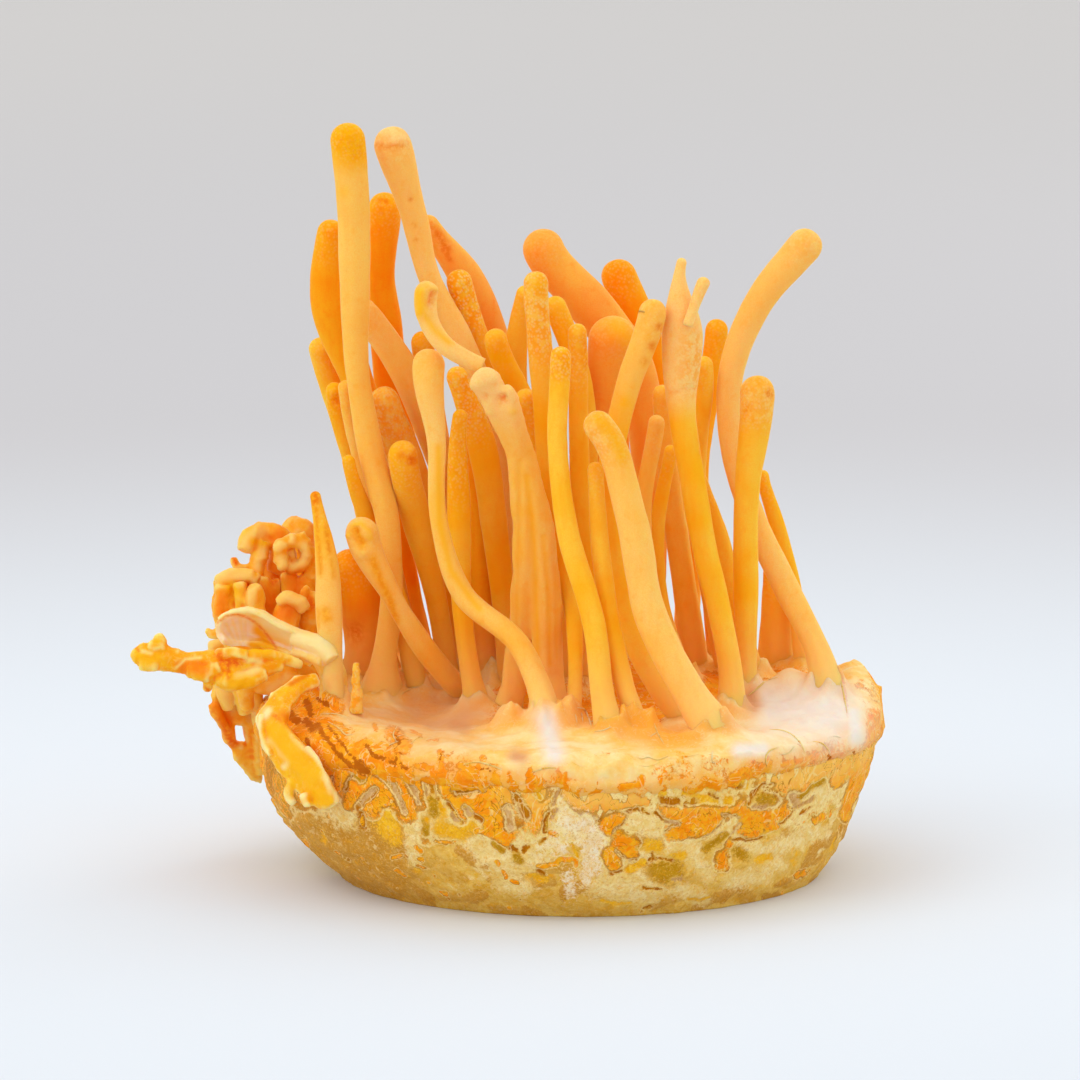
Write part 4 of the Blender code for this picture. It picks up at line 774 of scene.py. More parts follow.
def rope_of(rows, sides):
    """A closed rope of this many sides through rows of x, y, z and radius."""
    steps = np.linalg.norm(np.diff(rows[:, :3], axis=0), axis=1)
    rows = smooth_rows(rows, np.linspace(0.0, steps.sum(), 6 * len(rows)))
    across, deep = square_to(np.gradient(rows[:, :3], axis=0))
    angle = np.linspace(0.0, math.tau, sides, endpoint=False)[None, :, None]
    ring = (across[:, None] * np.cos(angle) + deep[:, None] * np.sin(angle)) * rows[:, 3][:, None, None]
    points = (rows[:, None, :3] + ring).reshape(-1, 3)
    faces = tube_faces(len(rows), sides)
    faces.append(tuple(range(sides)))
    faces.append(tuple(range(len(points) - 1, len(points) - 1 - sides, -1)))
    return points, faces


def joined_to(points, faces, more_points, more_faces):
    """Two sets of points and faces as one."""
    faces = faces + [tuple(place + len(points) for place in face) for face in more_faces]
    return np.concatenate([points, more_points]), faces


def fine_cells(node, cell, smoothing, folds=()):
    """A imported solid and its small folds, remade in small even cells: points, faces and outward directions."""
    points, triangles = packed(node)
    faces = triangles.tolist()
    for line in folds:
        rows = np.array([[*at_depth(across, up, depth), radius] for across, up, radius, depth in line])
        points, faces = joined_to(points, faces, *rope_of(rows, FOLD_SIDES))
    mesh = bpy.data.meshes.new("cells")
    mesh.from_pydata((points * MM).tolist(), [], faces)
    item = bpy.data.objects.new("cells", mesh)
    bpy.context.scene.collection.objects.link(item)
    remesh = item.modifiers.new("cells", "REMESH")
    remesh.mode = "VOXEL"
    remesh.voxel_size = cell * MM
    smooth = item.modifiers.new("smooth", "SMOOTH")
    smooth.factor = 0.5
    smooth.iterations = smoothing
    made = bpy.data.meshes.new_from_object(item.evaluated_get(bpy.context.evaluated_depsgraph_get()))
    bpy.data.objects.remove(item, do_unlink=True)
    count = len(made.vertices)
    found = np.empty(count * 3)
    made.vertices.foreach_get("co", found)
    outward = np.empty(count * 3, dtype=np.float32)
    made.vertex_normals.foreach_get("vector", outward)
    corners = np.empty(len(made.polygons) * 4, dtype=np.int32)
    made.polygons.foreach_get("vertices", corners)
    bpy.data.meshes.remove(made)
    return found.reshape(-1, 3) / MM, corners.reshape(-1, 4), outward.reshape(-1, 3).astype(float)


def bulging(points, faces, outward, rounds):
    """How much the surface bulges at each point, evened out: above zero on ridges, below zero in creases."""
    ends = np.concatenate([faces[:, (0, 1)], faces[:, (1, 2)], faces[:, (2, 3)], faces[:, (3, 0)]])
    ends = np.concatenate([ends, ends[:, ::-1]])
    count = np.bincount(ends[:, 0], minlength=len(points))

    def mean_of(values):
        return np.bincount(ends[:, 0], weights=values[ends[:, 1]], minlength=len(points)) / count

    sunk = points - np.stack([mean_of(points[:, axis]) for axis in range(3)], axis=-1)
    bulge = (sunk * outward).sum(axis=-1)
    for _ in range(rounds):
        bulge = 0.4 * bulge + 0.6 * mean_of(bulge)
    return bulge


def build_fused(seed):
    """Two strands grown together, with the grooves between them."""
    node = FUSED_FINGER
    points, faces, outward = fine_cells(node, 0.35, 6)
    seen = on_sheet(points)
    depth, scar, yellow, grain = pressed(points, outward, node)
    tall = np.array([1.0, 1.0, 0.12])
    swell = 0.16 * lumps(points * tall, 0.9, seed) * ease(seen[:, 1], 60.0, 52.0)
    swell += 0.1 * lumps(points, 2.4, seed + 1)
    low = points[:, 2].min()
    foot = np.exp(-(points[:, 2] - low) / 2.2)
    points = points + outward * (swell - depth + 0.9 * foot * (points[:, 2] > low + 0.1))[:, None]
    points[:, 2] -= FOOT_SINK * np.exp(-(points[:, 2] - low) / 0.8)
    share = np.clip((points[:, 2] - low) / PALE_REACH, 0.0, 1.0)
    traits = np.stack([share, grain, scar, yellow], axis=-1)
    pale = np.zeros((len(points), 4))
    pale[:, 0] = 0.85 * ease(seen[:, 1], 55.0, 64.0)
    return new_piece(node + "_flesh", points, faces.tolist(), traits, PALE_FLESH, node, tints=pale)


# Small folds that grow out of the lobes: across, up, radius and depth.
FOLDS = {
    "lobe_curled_crest": (
        ((-44.7, 42.2, 1.0, 5.0), (-44.3, 43.6, 1.1, 5.5), (-43.0, 44.6, 1.1, 6.5), (-41.6, 44.9, 1.0, 7.0),
         (-40.2, 44.4, 1.2, 7.0), (-40.2, 42.0, 1.1, 7.0), (-40.7, 39.4, 1.1, 7.0)),
        ((-42.0, 43.6, 0.9, 6.0), (-42.6, 41.6, 1.1, 5.5), (-43.2, 39.4, 1.3, 5.0), (-43.6, 37.0, 1.4, 4.5)),
        ((-43.4, 40.4, 0.5, 5.0), (-44.8, 40.0, 0.4, 4.5), (-45.9, 40.3, 0.42, 4.5), (-46.2, 41.2, 0.4, 4.5)),
        ((-42.6, 38.6, 1.1, 4.0), (-42.2, 36.0, 1.3, 3.6), (-41.8, 33.4, 1.3, 3.4)),
        ((-41.0, 38.2, 0.9, 4.6), (-40.6, 35.0, 1.0, 4.6), (-40.4, 32.6, 1.0, 4.6)),
    ),
    "lobe_curled_ring": (
        ((-38.6, 43.4, 0.8, 2.4), (-37.2, 43.0, 0.9, 2.6), (-36.4, 41.8, 0.9, 2.8), (-37.0, 40.4, 0.8, 3.0),
         (-38.6, 40.0, 0.7, 2.8), (-40.0, 40.8, 0.7, 2.2), (-40.2, 42.2, 0.7, 2.0), (-39.6, 43.2, 0.7, 2.0)),
        ((-38.8, 41.6, 1.3, 4.2), (-38.0, 41.7, 1.3, 4.2)),
        ((-38.8, 39.2, 1.1, 4.2), (-38.6, 37.2, 1.3, 4.0), (-38.0, 35.2, 1.3, 4.0)),
        ((-37.0, 38.6, 1.2, 4.2), (-36.6, 36.4, 1.2, 3.6)),
        ((-36.2, 37.4, 0.45, -1.4), (-36.8, 36.6, 0.5, -1.8), (-36.9, 35.2, 0.5, -2.0),
         (-36.2, 34.1, 0.5, -2.0)),
    ),
    "lobe_left_hood": (
        ((-48.0, 38.0, 0.9, 1.6), (-46.4, 38.8, 0.9, 1.4), (-44.6, 38.9, 0.9, 1.2), (-43.0, 38.2, 0.8, 1.0)),
        ((-47.6, 37.4, 1.0, 0.4), (-47.8, 35.4, 1.0, 0.2), (-47.8, 33.2, 1.0, 0.0)),
        ((-45.4, 37.8, 0.8, -0.6), (-45.2, 35.6, 0.8, -0.8), (-45.2, 33.6, 0.8, -1.0)),
        ((-47.6, 31.4, 0.8, -1.0), (-49.0, 31.0, 0.6, -1.0), (-49.9, 31.6, 0.4, -1.0)),
    ),
    "lobe_middle_fold": (
        ((-40.2, 35.2, 0.8, -3.0), (-39.2, 36.0, 0.9, -3.2), (-37.8, 35.6, 0.9, -3.2),
         (-36.6, 34.4, 0.8, -3.2)),
        ((-44.0, 26.6, 1.2, -6.0), (-44.6, 23.8, 1.2, -5.0), (-44.4, 21.0, 0.9, -4.0)),
        ((-40.0, 27.4, 1.5, -1.0), (-37.4, 26.4, 1.8, 0.5), (-34.6, 26.0, 1.7, 2.0), (-32.0, 25.0, 1.4, 3.0)),
        ((-38.6, 24.0, 2.0, -0.5), (-35.6, 23.4, 2.2, 1.0), (-32.6, 22.4, 2.0, 2.0)),
    ),
    "lobe_antler": (
        ((-48.4, 25.2, 1.2, -14.8), (-46.4, 24.7, 1.3, -15.0), (-44.0, 25.0, 1.1, -14.6),
         (-42.0, 25.8, 0.9, -14.0)),
        ((-52.4, 26.2, 0.9, -14.8), (-50.0, 25.8, 1.0, -15.2), (-48.0, 26.6, 0.8, -15.2)),
        ((-48.4, 28.4, 0.6, -14.6), (-46.6, 28.6, 0.6, -15.0), (-44.4, 28.4, 0.6, -14.8)),
        ((-44.4, 27.8, 1.0, -14.0), (-42.4, 28.4, 0.8, -13.6), (-40.0, 28.0, 0.7, -12.6),
         (-37.0, 27.0, 0.5, -12.0)), ((-58.6, 27.2, 0.9, -14.4), (-56.4, 27.0, 0.8, -14.6)),
        ((-57.4, 29.4, 0.6, -14.4), (-55.6, 29.6, 0.7, -14.4)),
    ),
    "lobe_ear": (
        ((-35.0, 28.4, 1.3, -12.2), (-33.8, 27.4, 1.7, -11.2), (-33.0, 25.8, 1.8, -10.6),
         (-32.8, 23.6, 1.9, -10.4), (-32.7, 21.8, 2.2, -10.4)),
        ((-38.4, 30.6, 1.0, -10.6), (-36.0, 30.0, 1.3, -11.4), (-34.2, 29.2, 1.4, -12.2),
         (-33.0, 27.6, 1.1, -13.2)),
        ((-38.4, 28.8, 0.5, -10.6), (-36.0, 28.2, 0.8, -11.6), (-34.2, 27.6, 1.0, -12.6)),
        ((-48.2, 33.0, 0.32, -11.6), (-46.4, 34.0, 0.34, -12.0), (-44.4, 34.2, 0.36, -12.2),
         (-42.4, 33.6, 0.4, -12.0), (-40.6, 32.4, 0.4, -11.8), (-38.6, 31.6, 0.4, -11.6)),
    ),
    "lobe_back_fringe": (
        ((-47.6, 26.0, 0.9, 4.6), (-47.4, 23.4, 1.0, 4.8), (-46.8, 21.2, 0.7, 5.4)),
        ((-45.6, 26.2, 0.9, 4.4), (-45.2, 23.4, 1.0, 4.6), (-44.6, 20.4, 0.8, 5.4)),
        ((-43.4, 26.2, 0.9, 5.0), (-43.2, 22.6, 1.0, 5.6), (-42.8, 19.0, 0.8, 6.6)),
        ((-49.0, 21.8, 0.7, 6.0), (-48.0, 20.0, 0.7, 6.6), (-47.2, 18.6, 0.6, 7.4), (-46.6, 17.0, 0.6, 8.4)),
        ((-43.0, 17.8, 0.7, 8.6), (-42.8, 15.0, 0.7, 10.0), (-42.6, 12.6, 0.6, 12.0)),
    ),
    "lobe_hanging_leaf": (
        ((-36.4, 15.9, 0.3, -27.6), (-34.9, 14.2, 0.34, -29.0), (-33.9, 12.2, 0.32, -30.2),
         (-33.2, 10.2, 0.3, -31.0)),
        ((-42.6, 20.4, 0.3, -22.0), (-42.4, 17.6, 0.32, -23.0), (-41.4, 14.8, 0.3, -24.4)),
        ((-38.4, 11.6, 0.7, -26.6), (-38.8, 9.4, 0.6, -27.2), (-38.2, 8.4, 0.45, -27.6)),
        ((-36.8, 9.8, 0.7, -29.2), (-36.4, 8.0, 0.5, -29.8)),
        ((-41.0, 22.0, 0.5, -18.0), (-42.0, 20.4, 0.5, -20.4)),
    ),
}
# What the lobes show from the front: kind, half width, line on the sheet. Rim lines are painted light on thin
# edges; lines in hollows are painted shade.
LOBE_MARKS = {
    "lobe_ear": (
        ("painted_hollow_shade", 1.5, (-46.8, 31.2), (-45.2, 31.0)), ("painted_hollow_shade", 1.0, (-46.4, 32.4), (-44.8, 32.2)),
        ("painted_hollow_shade", 0.8, (-45.6, 29.6), (-45.0, 29.4)), ("rim", 0.1, (-47.8, 31.4), (-46.4, 29.9)),
        ("rim", 0.12, (-47.2, 32.4), (-45.9, 30.0)), ("rim", 0.1, (-46.3, 32.9), (-45.3, 29.6)),
        ("rim", 0.12, (-45.3, 33.0), (-44.9, 30.2)), ("rim", 0.08, (-44.6, 32.8), (-44.6, 30.6)),
        ("rim", 1.2, (-41.6, 33.0), (-38.0, 30.6), (-34.6, 29.4)), ("rim", 0.9, (-34.6, 30.4), (-32.8, 27.2)),
        ("rim", 0.5, (-46.4, 34.2), (-43.6, 34.2)),
        ("yellow", 0.6, (-43.0, 31.6), (-41.4, 29.6), (-40.0, 28.4)),
        ("yellow", 0.6, (-43.8, 29.6), (-42.0, 29.4)),
        ("scar", 0.1, (-48.3, 32.6), (-47.2, 33.5), (-45.8, 33.7), (-44.4, 33.3), (-43.0, 32.4),
         (-41.9, 31.2)), ("scar", 0.1, (-41.9, 31.2), (-41.0, 30.0), (-40.3, 28.8)),
        ("yellow", 0.4, (-40.0, 27.5), (-36.6, 26.9)),
    ),
    "lobe_antler": (
        ("scar", 0.5, (-48.2, 28.4), (-47.4, 27.4), (-45.4, 27.2)),
        ("scar", 0.3, (-46.9, 27.0), (-46.8, 25.2)), ("painted_hollow_shade", 0.5, (-53.6, 27.0), (-53.2, 25.8)),
        ("painted_hollow_shade", 0.9, (-52.4, 26.8), (-50.4, 26.4)),
        ("rim", 0.2, (-53.8, 26.6), (-52.6, 27.7), (-50.6, 27.9)), ("rim", 0.5, (-45.6, 25.4), (-43.0, 26.4)),
        ("yellow", 0.9, (-46.2, 24.4), (-44.6, 24.6)), ("yellow", 1.0, (-58.8, 28.0), (-56.6, 28.0)),
        ("rim", 0.22, (-58.4, 28.8), (-57.2, 28.5)), ("rim", 0.2, (-56.8, 29.0), (-56.2, 29.2)),
        ("scar", 0.1, (-59.2, 29.3), (-58.8, 28.8)), ("yellow", 0.7, (-44.6, 29.2), (-41.6, 28.6)),
        ("scar", 0.3, (-49.8, 23.9), (-49.6, 23.5)), ("rim", 0.35, (-44.6, 27.6), (-42.6, 27.4)),
    ),
    "lobe_hanging_leaf": (
        ("rim", 0.3, (-37.0, 16.0), (-35.4, 14.8), (-34.2, 13.2), (-33.7, 11.0), (-32.6, 9.6)),
        ("rim", 0.22, (-42.8, 22.6), (-43.2, 20.0), (-43.0, 18.0)),
        ("rim", 0.14, (-41.2, 17.6), (-40.4, 15.8), (-39.4, 14.6)),
        ("painted_hollow_shade", 0.2, (-37.6, 15.6), (-36.2, 13.2), (-35.2, 10.4)),
        ("rim", 0.12, (-38.6, 17.4), (-37.2, 14.6), (-36.4, 12.2)),
        ("rim", 0.5, (-41.6, 20.8), (-42.0, 20.2)),
        ("rim", 0.35, (-42.9, 19.0), (-43.0, 17.0), (-41.8, 15.6)),
        ("rim", 0.5, (-41.4, 16.9), (-40.4, 16.6)), ("rim", 0.4, (-39.8, 15.2), (-38.8, 14.2), (-39.4, 13.4)),
        ("painted_hollow_shade", 0.9, (-39.6, 20.0), (-38.4, 19.0)),
        ("scar", 0.3, (-40.8, 20.3), (-39.8, 19.4), (-38.8, 18.8)),
        ("yellow", 1.6, (-40.6, 18.0), (-36.0, 12.0)), ("yellow", 1.2, (-35.0, 10.0), (-33.4, 8.6)),
        ("rim", 0.25, (-32.6, 9.8), (-32.4, 8.4), (-33.6, 7.6)),
        ("painted_hollow_shade", 0.3, (-38.6, 24.4), (-36.4, 25.6)),
    ),
    "lobe_curled_crest": (
        ("rim", 0.9, (-44.4, 43.2), (-42.6, 44.4)), ("rim", 0.5, (-42.0, 43.0), (-43.0, 40.0)),
        ("scar", 0.5, (-40.6, 40.6), (-40.8, 37.8)), ("scar", 0.6, (-41.0, 36.2), (-40.6, 33.2)),
        ("painted_hollow_shade", 1.0, (-40.0, 44.2), (-40.6, 40.0)), ("painted_hollow_shade", 1.1, (-42.0, 36.6), (-41.0, 34.0)),
        ("scar", 0.3, (-46.2, 41.2), (-45.9, 40.5)), ("yellow", 0.6, (-43.6, 43.4), (-42.0, 43.2)),
    ),
    "lobe_curled_ring": (
        ("scar", 0.45, (-36.1, 35.8), (-35.9, 34.8)), ("painted_hollow_shade", 1.4, (-38.0, 39.0), (-37.6, 36.6)),
        ("rim", 0.6, (-40.0, 41.0), (-38.4, 39.9), (-36.8, 41.0), (-36.8, 42.8)),
        ("rim", 0.4, (-38.6, 41.8), (-37.8, 41.8)),
    ),
    "lobe_left_hood": (
        ("rim", 0.7, (-47.6, 38.6), (-45.0, 38.9)), ("yellow", 1.0, (-46.6, 37.2), (-46.4, 36.4)),
        ("painted_hollow_shade", 0.4, (-44.3, 37.8), (-44.2, 34.4)), ("rim", 0.5, (-44.0, 36.8), (-44.0, 34.8)),
        ("painted_hollow_shade", 0.8, (-47.8, 36.0), (-48.0, 34.0)),
    ),
    "lobe_middle_fold": (
        ("rim", 0.9, (-39.4, 35.9), (-37.2, 35.2), (-36.2, 33.4)),
        ("painted_hollow_shade", 1.0, (-40.4, 33.6), (-38.8, 33.8)),
        ("rim", 0.5, (-41.4, 23.6), (-40.2, 24.4), (-39.0, 25.4)), ("rim", 0.6, (-39.4, 21.9), (-37.4, 22.2)),
    ),
    "lobe_back_fringe": (
        ("rim", 1.0, (-47.6, 24.6), (-46.6, 21.6)), ("rim", 0.8, (-44.6, 23.6), (-43.4, 20.0)),
        ("scar", 0.6, (-49.2, 21.4), (-47.6, 19.4), (-47.0, 17.6), (-46.2, 16.4)),
        ("yellow", 0.5, (-45.6, 24.0), (-45.2, 21.8)), ("painted_hollow_shade", 0.6, (-48.8, 21.6), (-47.0, 19.6)),
    ),
}


def build_lobe(node, cell, smoothing, material, seed, crumple, crumple_size):
    """A misgrown lobe with its small folds, crumpled all over, and its marks."""
    points, faces, outward = fine_cells(node, cell, smoothing, FOLDS.get(node, ()))
    crumples = lumps(points, crumple_size, seed) + 0.5 * lumps(points, crumple_size / 2.2, seed + 1)
    ridged = 1.0 - 2.0 * np.abs(lumps(points, crumple_size * 0.9, seed + 2))
    fine = 1.0 - 2.0 * np.abs(lumps(points, crumple_size * 0.36, seed + 3))
    points = points + outward * (crumple * (0.45 * crumples + 0.4 * ridged + 0.16 * fine))[:, None]
    bulge = bulging(points, faces, outward, 3) / cell ** 2
    seen = on_sheet(points)
    facing = ease(-(outward @ AWAY), -0.3, 0.2)
    # Painted light and shade: ridges are painted pale as lit edges and creases painted deep as shade, before the
    # marks.
    marks = {"rim": ease(bulge, 0.1, 0.6), "painted_hollow_shade": ease(-bulge, 0.02, 0.4), "scar": np.zeros(len(points)),
             "yellow": np.zeros(len(points))}
    for kind, half_width, *line in LOBE_MARKS.get(node, ()):
        cover = covered_by(seen, half_width, line) * facing
        for other in marks:
            marks[other] = marks[other] * (1.0 - cover)
        marks[kind] = marks[kind] + cover
    traits = np.stack([marks[kind] for kind in ("rim", "painted_hollow_shade", "scar", "yellow")], axis=-1)
    return new_piece(node + "_flesh", points, faces.tolist(), traits, material, node)


# ---------------------------------------------------------------- felt

CAKE_LEAN = -1.5
MIDDLE = np.array([CAKE_LEAN, 0.0])
FRONT_DENSITY = 0.45                # columns stand closer together on the front
FELT_SIDES = 800
FELT_ROWS = 84
FELT_TURN_ROWS = 7
FELT_SKIRT_ROWS = 14
OUTSIDE, OVER_FELT = 90.0, 60.0     # rays start from here, inward or down
DOWN = Vector((0.0, 0.0, -1.0))
CLIMB = 3.0                         # how far the felt climbs a foot
SKIRT_FADE = 1.3                    # height over which the felt's lower edge thins out
SKIRT_TOP = 0.8                     # where the skirt starts, over the mat's underside
TORN_SEED = 77                      # shared by the felt's torn edge and what the cake shows of it
# Where the felt swells up besides at the feet: height, then middle and reach in x and in y.
FELT_RISES = ((2.6, 27.4, 3.0, -3.0, 4.5), (2.6, -35.0, 2.4, -5.0, 4.0))

# Where the felt ends over the cake's front, across and up.
FELT_END = np.array((
    (-36.5, 21.0), (-34.5, 19.6), (-31.0, 15.4), (-28.5, 15.4), (-25.0, 13.6), (-21.0, 12.9), (-15.0, 13.2),
    (-9.0, 11.6), (-5.0, 11.2), (-2.4, 11.2), (0.0, 10.2), (6.0, 9.8), (10.0, 10.3), (16.0, 11.2), (19.0, 10.6),
    (21.0, 11.7), (23.0, 13.3), (27.0, 13.7), (30.0, 14.7), (33.0, 16.6), (35.0, 18.0)))

# Where orange light gathers on the felt between the middle feet.
FEET_GLOW = ((5.5, 18.6), (10.0, 17.2), (15.5, 17.4))

# What the felt shows from the front: kind, half width, line on the sheet. Its marks in hollows are painted shade.
FELT_MARKS = (
    ("wool", 3.6, (26.0, 21.5), (33.5, 20.5)), ("wool", 1.2, (-4.6, 19.8), (-3.4, 15.0)),
    ("wool", 1.2, (36.4, 20.5), (36.8, 17.4)), ("wool", 0.9, (21.2, 15.6), (24.4, 15.8)),
    ("painted_hollow_shade", 3.9, (-24.0, 23.6), (-19.5, 21.6), (-16.6, 21.4)),
    ("painted_hollow_shade", 1.4, (-17.0, 19.2), (-15.5, 18.8)), ("painted_hollow_shade", 0.8, (-8.6, 14.8), (-7.8, 14.6)),
    ("painted_hollow_shade", 1.0, (-30.5, 28.0), (-29.2, 24.0)), ("painted_hollow_shade", 0.9, (22.6, 22.6), (23.2, 21.4)),
    ("rind_and_painted_shade", 1.3, (-35.4, 22.6), (-32.8, 21.4)), ("stain", 0.3, (-34.9, 22.4), (-33.6, 21.6)),
    ("rind_and_painted_shade", 1.7, (-39.5, 20.5), (-37.4, 16.0), (-33.6, 13.0)), ("rind_and_painted_shade", 1.5, (-37.6, 22.4), (-35.6, 20.6)),
    ("stain", 0.6, (-38.8, 20.4), (-37.6, 19.4)), ("stain", 0.45, (-36.4, 22.0), (-35.8, 20.4)),
    ("stain", 0.6, (-36.4, 19.4), (-35.6, 18.4)), ("stain", 0.3, (-36.4, 17.0), (-36.2, 15.8)),
    ("rind_and_painted_shade", 1.3, (-35.6, 19.0), (-33.9, 16.8), (-31.4, 13.9), (-29.4, 13.6)),
    ("rind_and_painted_shade", 0.8, (-33.8, 19.2), (-30.6, 15.2)), ("stain", 0.4, (-35.0, 19.0), (-33.9, 17.2)),
    ("stain", 0.3, (-33.9, 17.2), (-32.0, 14.8), (-30.6, 13.4)),
    ("stain", 0.18, (-33.6, 18.9), (-32.4, 17.4), (-31.0, 15.4), (-29.3, 14.0)),
    ("rind_and_painted_shade", 0.6, (-28.6, 16.6), (-24.0, 13.6)), ("stain", 0.3, (-36.2, 14.2), (-34.8, 12.6), (-33.6, 10.9)),
    ("rind_and_painted_shade", 0.3, (-34.6, 18.4), (-32.4, 15.8), (-30.8, 14.0)), ("stain", 0.75, (-29.6, 13.6), (-28.8, 12.8)),
    ("stain", 0.24, (-28.4, 16.1), (-27.6, 15.0), (-26.0, 14.3), (-23.6, 13.4)),
    ("rind_and_painted_shade", 0.8, (-28.6, 14.6), (-26.4, 13.4), (-24.4, 12.6)),
    ("rind_and_painted_shade", 0.22, (-32.6, 19.3), (-31.9, 19.2), (-31.0, 17.9)),
    ("rind_and_painted_shade", 0.2, (-27.3, 15.9), (-26.4, 16.5), (-25.6, 16.2), (-25.5, 15.3), (-26.2, 14.8)),
    ("rind_and_painted_shade", 0.3, (-27.4, 18.9), (-27.1, 18.3)), ("rind_and_painted_shade", 0.2, (-22.6, 18.2), (-21.2, 17.5)),
    ("rind_and_painted_shade", 1.1, (-24.9, 17.8), (-24.0, 16.8), (-23.4, 16.2)), ("rind_and_painted_shade", 0.5, (-24.6, 15.6), (-24.4, 14.2)),
    ("stain", 0.12, (-24.0, 18.4), (-24.4, 17.4), (-24.1, 16.6), (-24.7, 15.6), (-24.5, 14.4), (-24.8, 13.4)),
    ("stain", 0.3, (-24.3, 17.0), (-24.1, 16.6)), ("stain", 0.08, (-24.4, 17.4), (-25.2, 17.8)),
    ("stain", 0.08, (-24.2, 16.8), (-25.4, 16.4), (-25.8, 15.8)),
    ("stain", 0.08, (-24.2, 17.0), (-23.4, 17.2), (-22.8, 16.8)),
    ("stain", 0.08, (-24.6, 15.4), (-23.8, 15.0)), ("stain", 0.22, (-24.0, 13.7), (-23.0, 13.0)),
    ("stain", 0.12, (-18.4, 15.2), (-18.7, 14.1)), ("rind_and_painted_shade", 0.4, (-18.6, 15.4), (-18.4, 14.2)),
    ("rind_and_painted_shade", 0.12, (-20.3, 16.8), (-18.9, 17.0)), ("rind_and_painted_shade", 0.1, (-17.7, 15.0), (-17.7, 14.4)),
    ("stain", 0.14, (-13.2, 13.0), (-12.7, 13.2), (-12.0, 12.9)), ("rind_and_painted_shade", 0.4, (-13.0, 14.6), (-12.8, 14.5)),
    ("rind_and_painted_shade", 0.12, (-13.6, 13.8), (-12.0, 13.7), (-11.0, 13.8), (-11.2, 13.1)),
    ("rind_and_painted_shade", 0.3, (-9.6, 12.4), (-9.3, 11.9)), ("rind_and_painted_shade", 0.5, (-16.0, 13.6), (-13.8, 12.8)),
    ("rind_and_painted_shade", 0.4, (-21.8, 13.4), (-19.6, 13.2)), ("rind_and_painted_shade", 0.35, (-3.0, 12.9), (-2.5, 11.9)),
    ("rind_and_painted_shade", 0.3, (-1.9, 12.4), (-1.8, 11.2)), ("rind_and_painted_shade", 0.5, (5.6, 10.6), (8.2, 11.2), (8.2, 11.8)),
    ("rind_and_painted_shade", 0.5, (16.6, 11.5), (18.0, 11.2)), ("rind_and_painted_shade", 0.9, (20.4, 11.6), (22.8, 12.9), (24.6, 12.8)),
    ("rind_and_painted_shade", 0.3, (27.2, 13.6), (29.6, 14.2)), ("stain", 0.12, (27.2, 11.1), (28.4, 11.8)),
    ("stain", 0.12, (31.0, 12.4), (32.0, 13.1)), ("stain", 0.25, (33.2, 14.8), (33.3, 14.5)),
    ("rind_and_painted_shade", 0.5, (33.6, 11.0), (35.2, 12.4), (35.2, 15.2)),
    ("rind_and_painted_shade", 0.55, (38.9, 20.6), (38.8, 17.4), (37.6, 13.6), (36.6, 10.6)),
    ("rind_and_painted_shade", 0.7, (37.6, 25.0), (37.4, 24.4)),
    ("rind_and_painted_shade", 0.22, (34.5, 26.8), (35.1, 24.4), (35.5, 21.6), (35.7, 20.2)),
    ("stain", 0.2, (36.4, 15.2), (36.8, 14.9)),
)


def tree_of(node):
    """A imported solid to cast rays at, and its points."""
    points, triangles = packed(node)
    return BVHTree.FromPolygons([Vector(p) for p in points], triangles.tolist()), points


def evened(values, rounds):
    """Rows of values around the cake, evened out along and around."""
    for _ in range(rounds):
        around = 0.5 * values + 0.25 * (np.roll(values, 1, axis=1) + np.roll(values, -1, axis=1))
        padded = np.concatenate([around[:1], around, around[-1:]])
        values = 0.5 * around + 0.25 * (padded[:-2] + padded[2:])
    return values


def directions(count):
    """Angles around the cake, closer together at the front, and their headings."""
    turn = np.linspace(-math.pi, math.pi, count, endpoint=False)
    angle = turn - FRONT_DENSITY * np.sin(turn) - math.pi / 2
    return angle, np.stack([np.cos(angle), np.sin(angle)], axis=-1)


def reach_at(tree, heading, z, lean=CAKE_LEAN):
    """How far a solid reaches from its middle at a height, in one direction."""
    start = Vector((lean + heading[0] * OUTSIDE, heading[1] * OUTSIDE, z))
    hit = tree.ray_cast(start, Vector((-heading[0], -heading[1], 0.0)))[0]
    return math.hypot(hit.x - lean, hit.y) if hit else np.nan


def feet():
    """Where the fingers stand: x, y and foot radius."""
    places = []
    for node in frame["nodes"]:
        if node.startswith("finger_") and node not in FLOATING_FINGERS and node != FUSED_FINGER:
            first = finger_rows(node)[0]
            places.append((first[0], first[1], first[3]))
    return np.array(places + list(FUSED_FEET))


def over_felt_end(seen):
    """How far above the felt's end a place on the sheet is."""
    return seen[..., 1] - np.interp(seen[..., 0], FELT_END[:, 0], FELT_END[:, 1])


def torn(points):
    """Unevenness of the felt's torn edge."""
    return rough(points * (1.0, 1.0, 0.5), 1.1, TORN_SEED, 3)


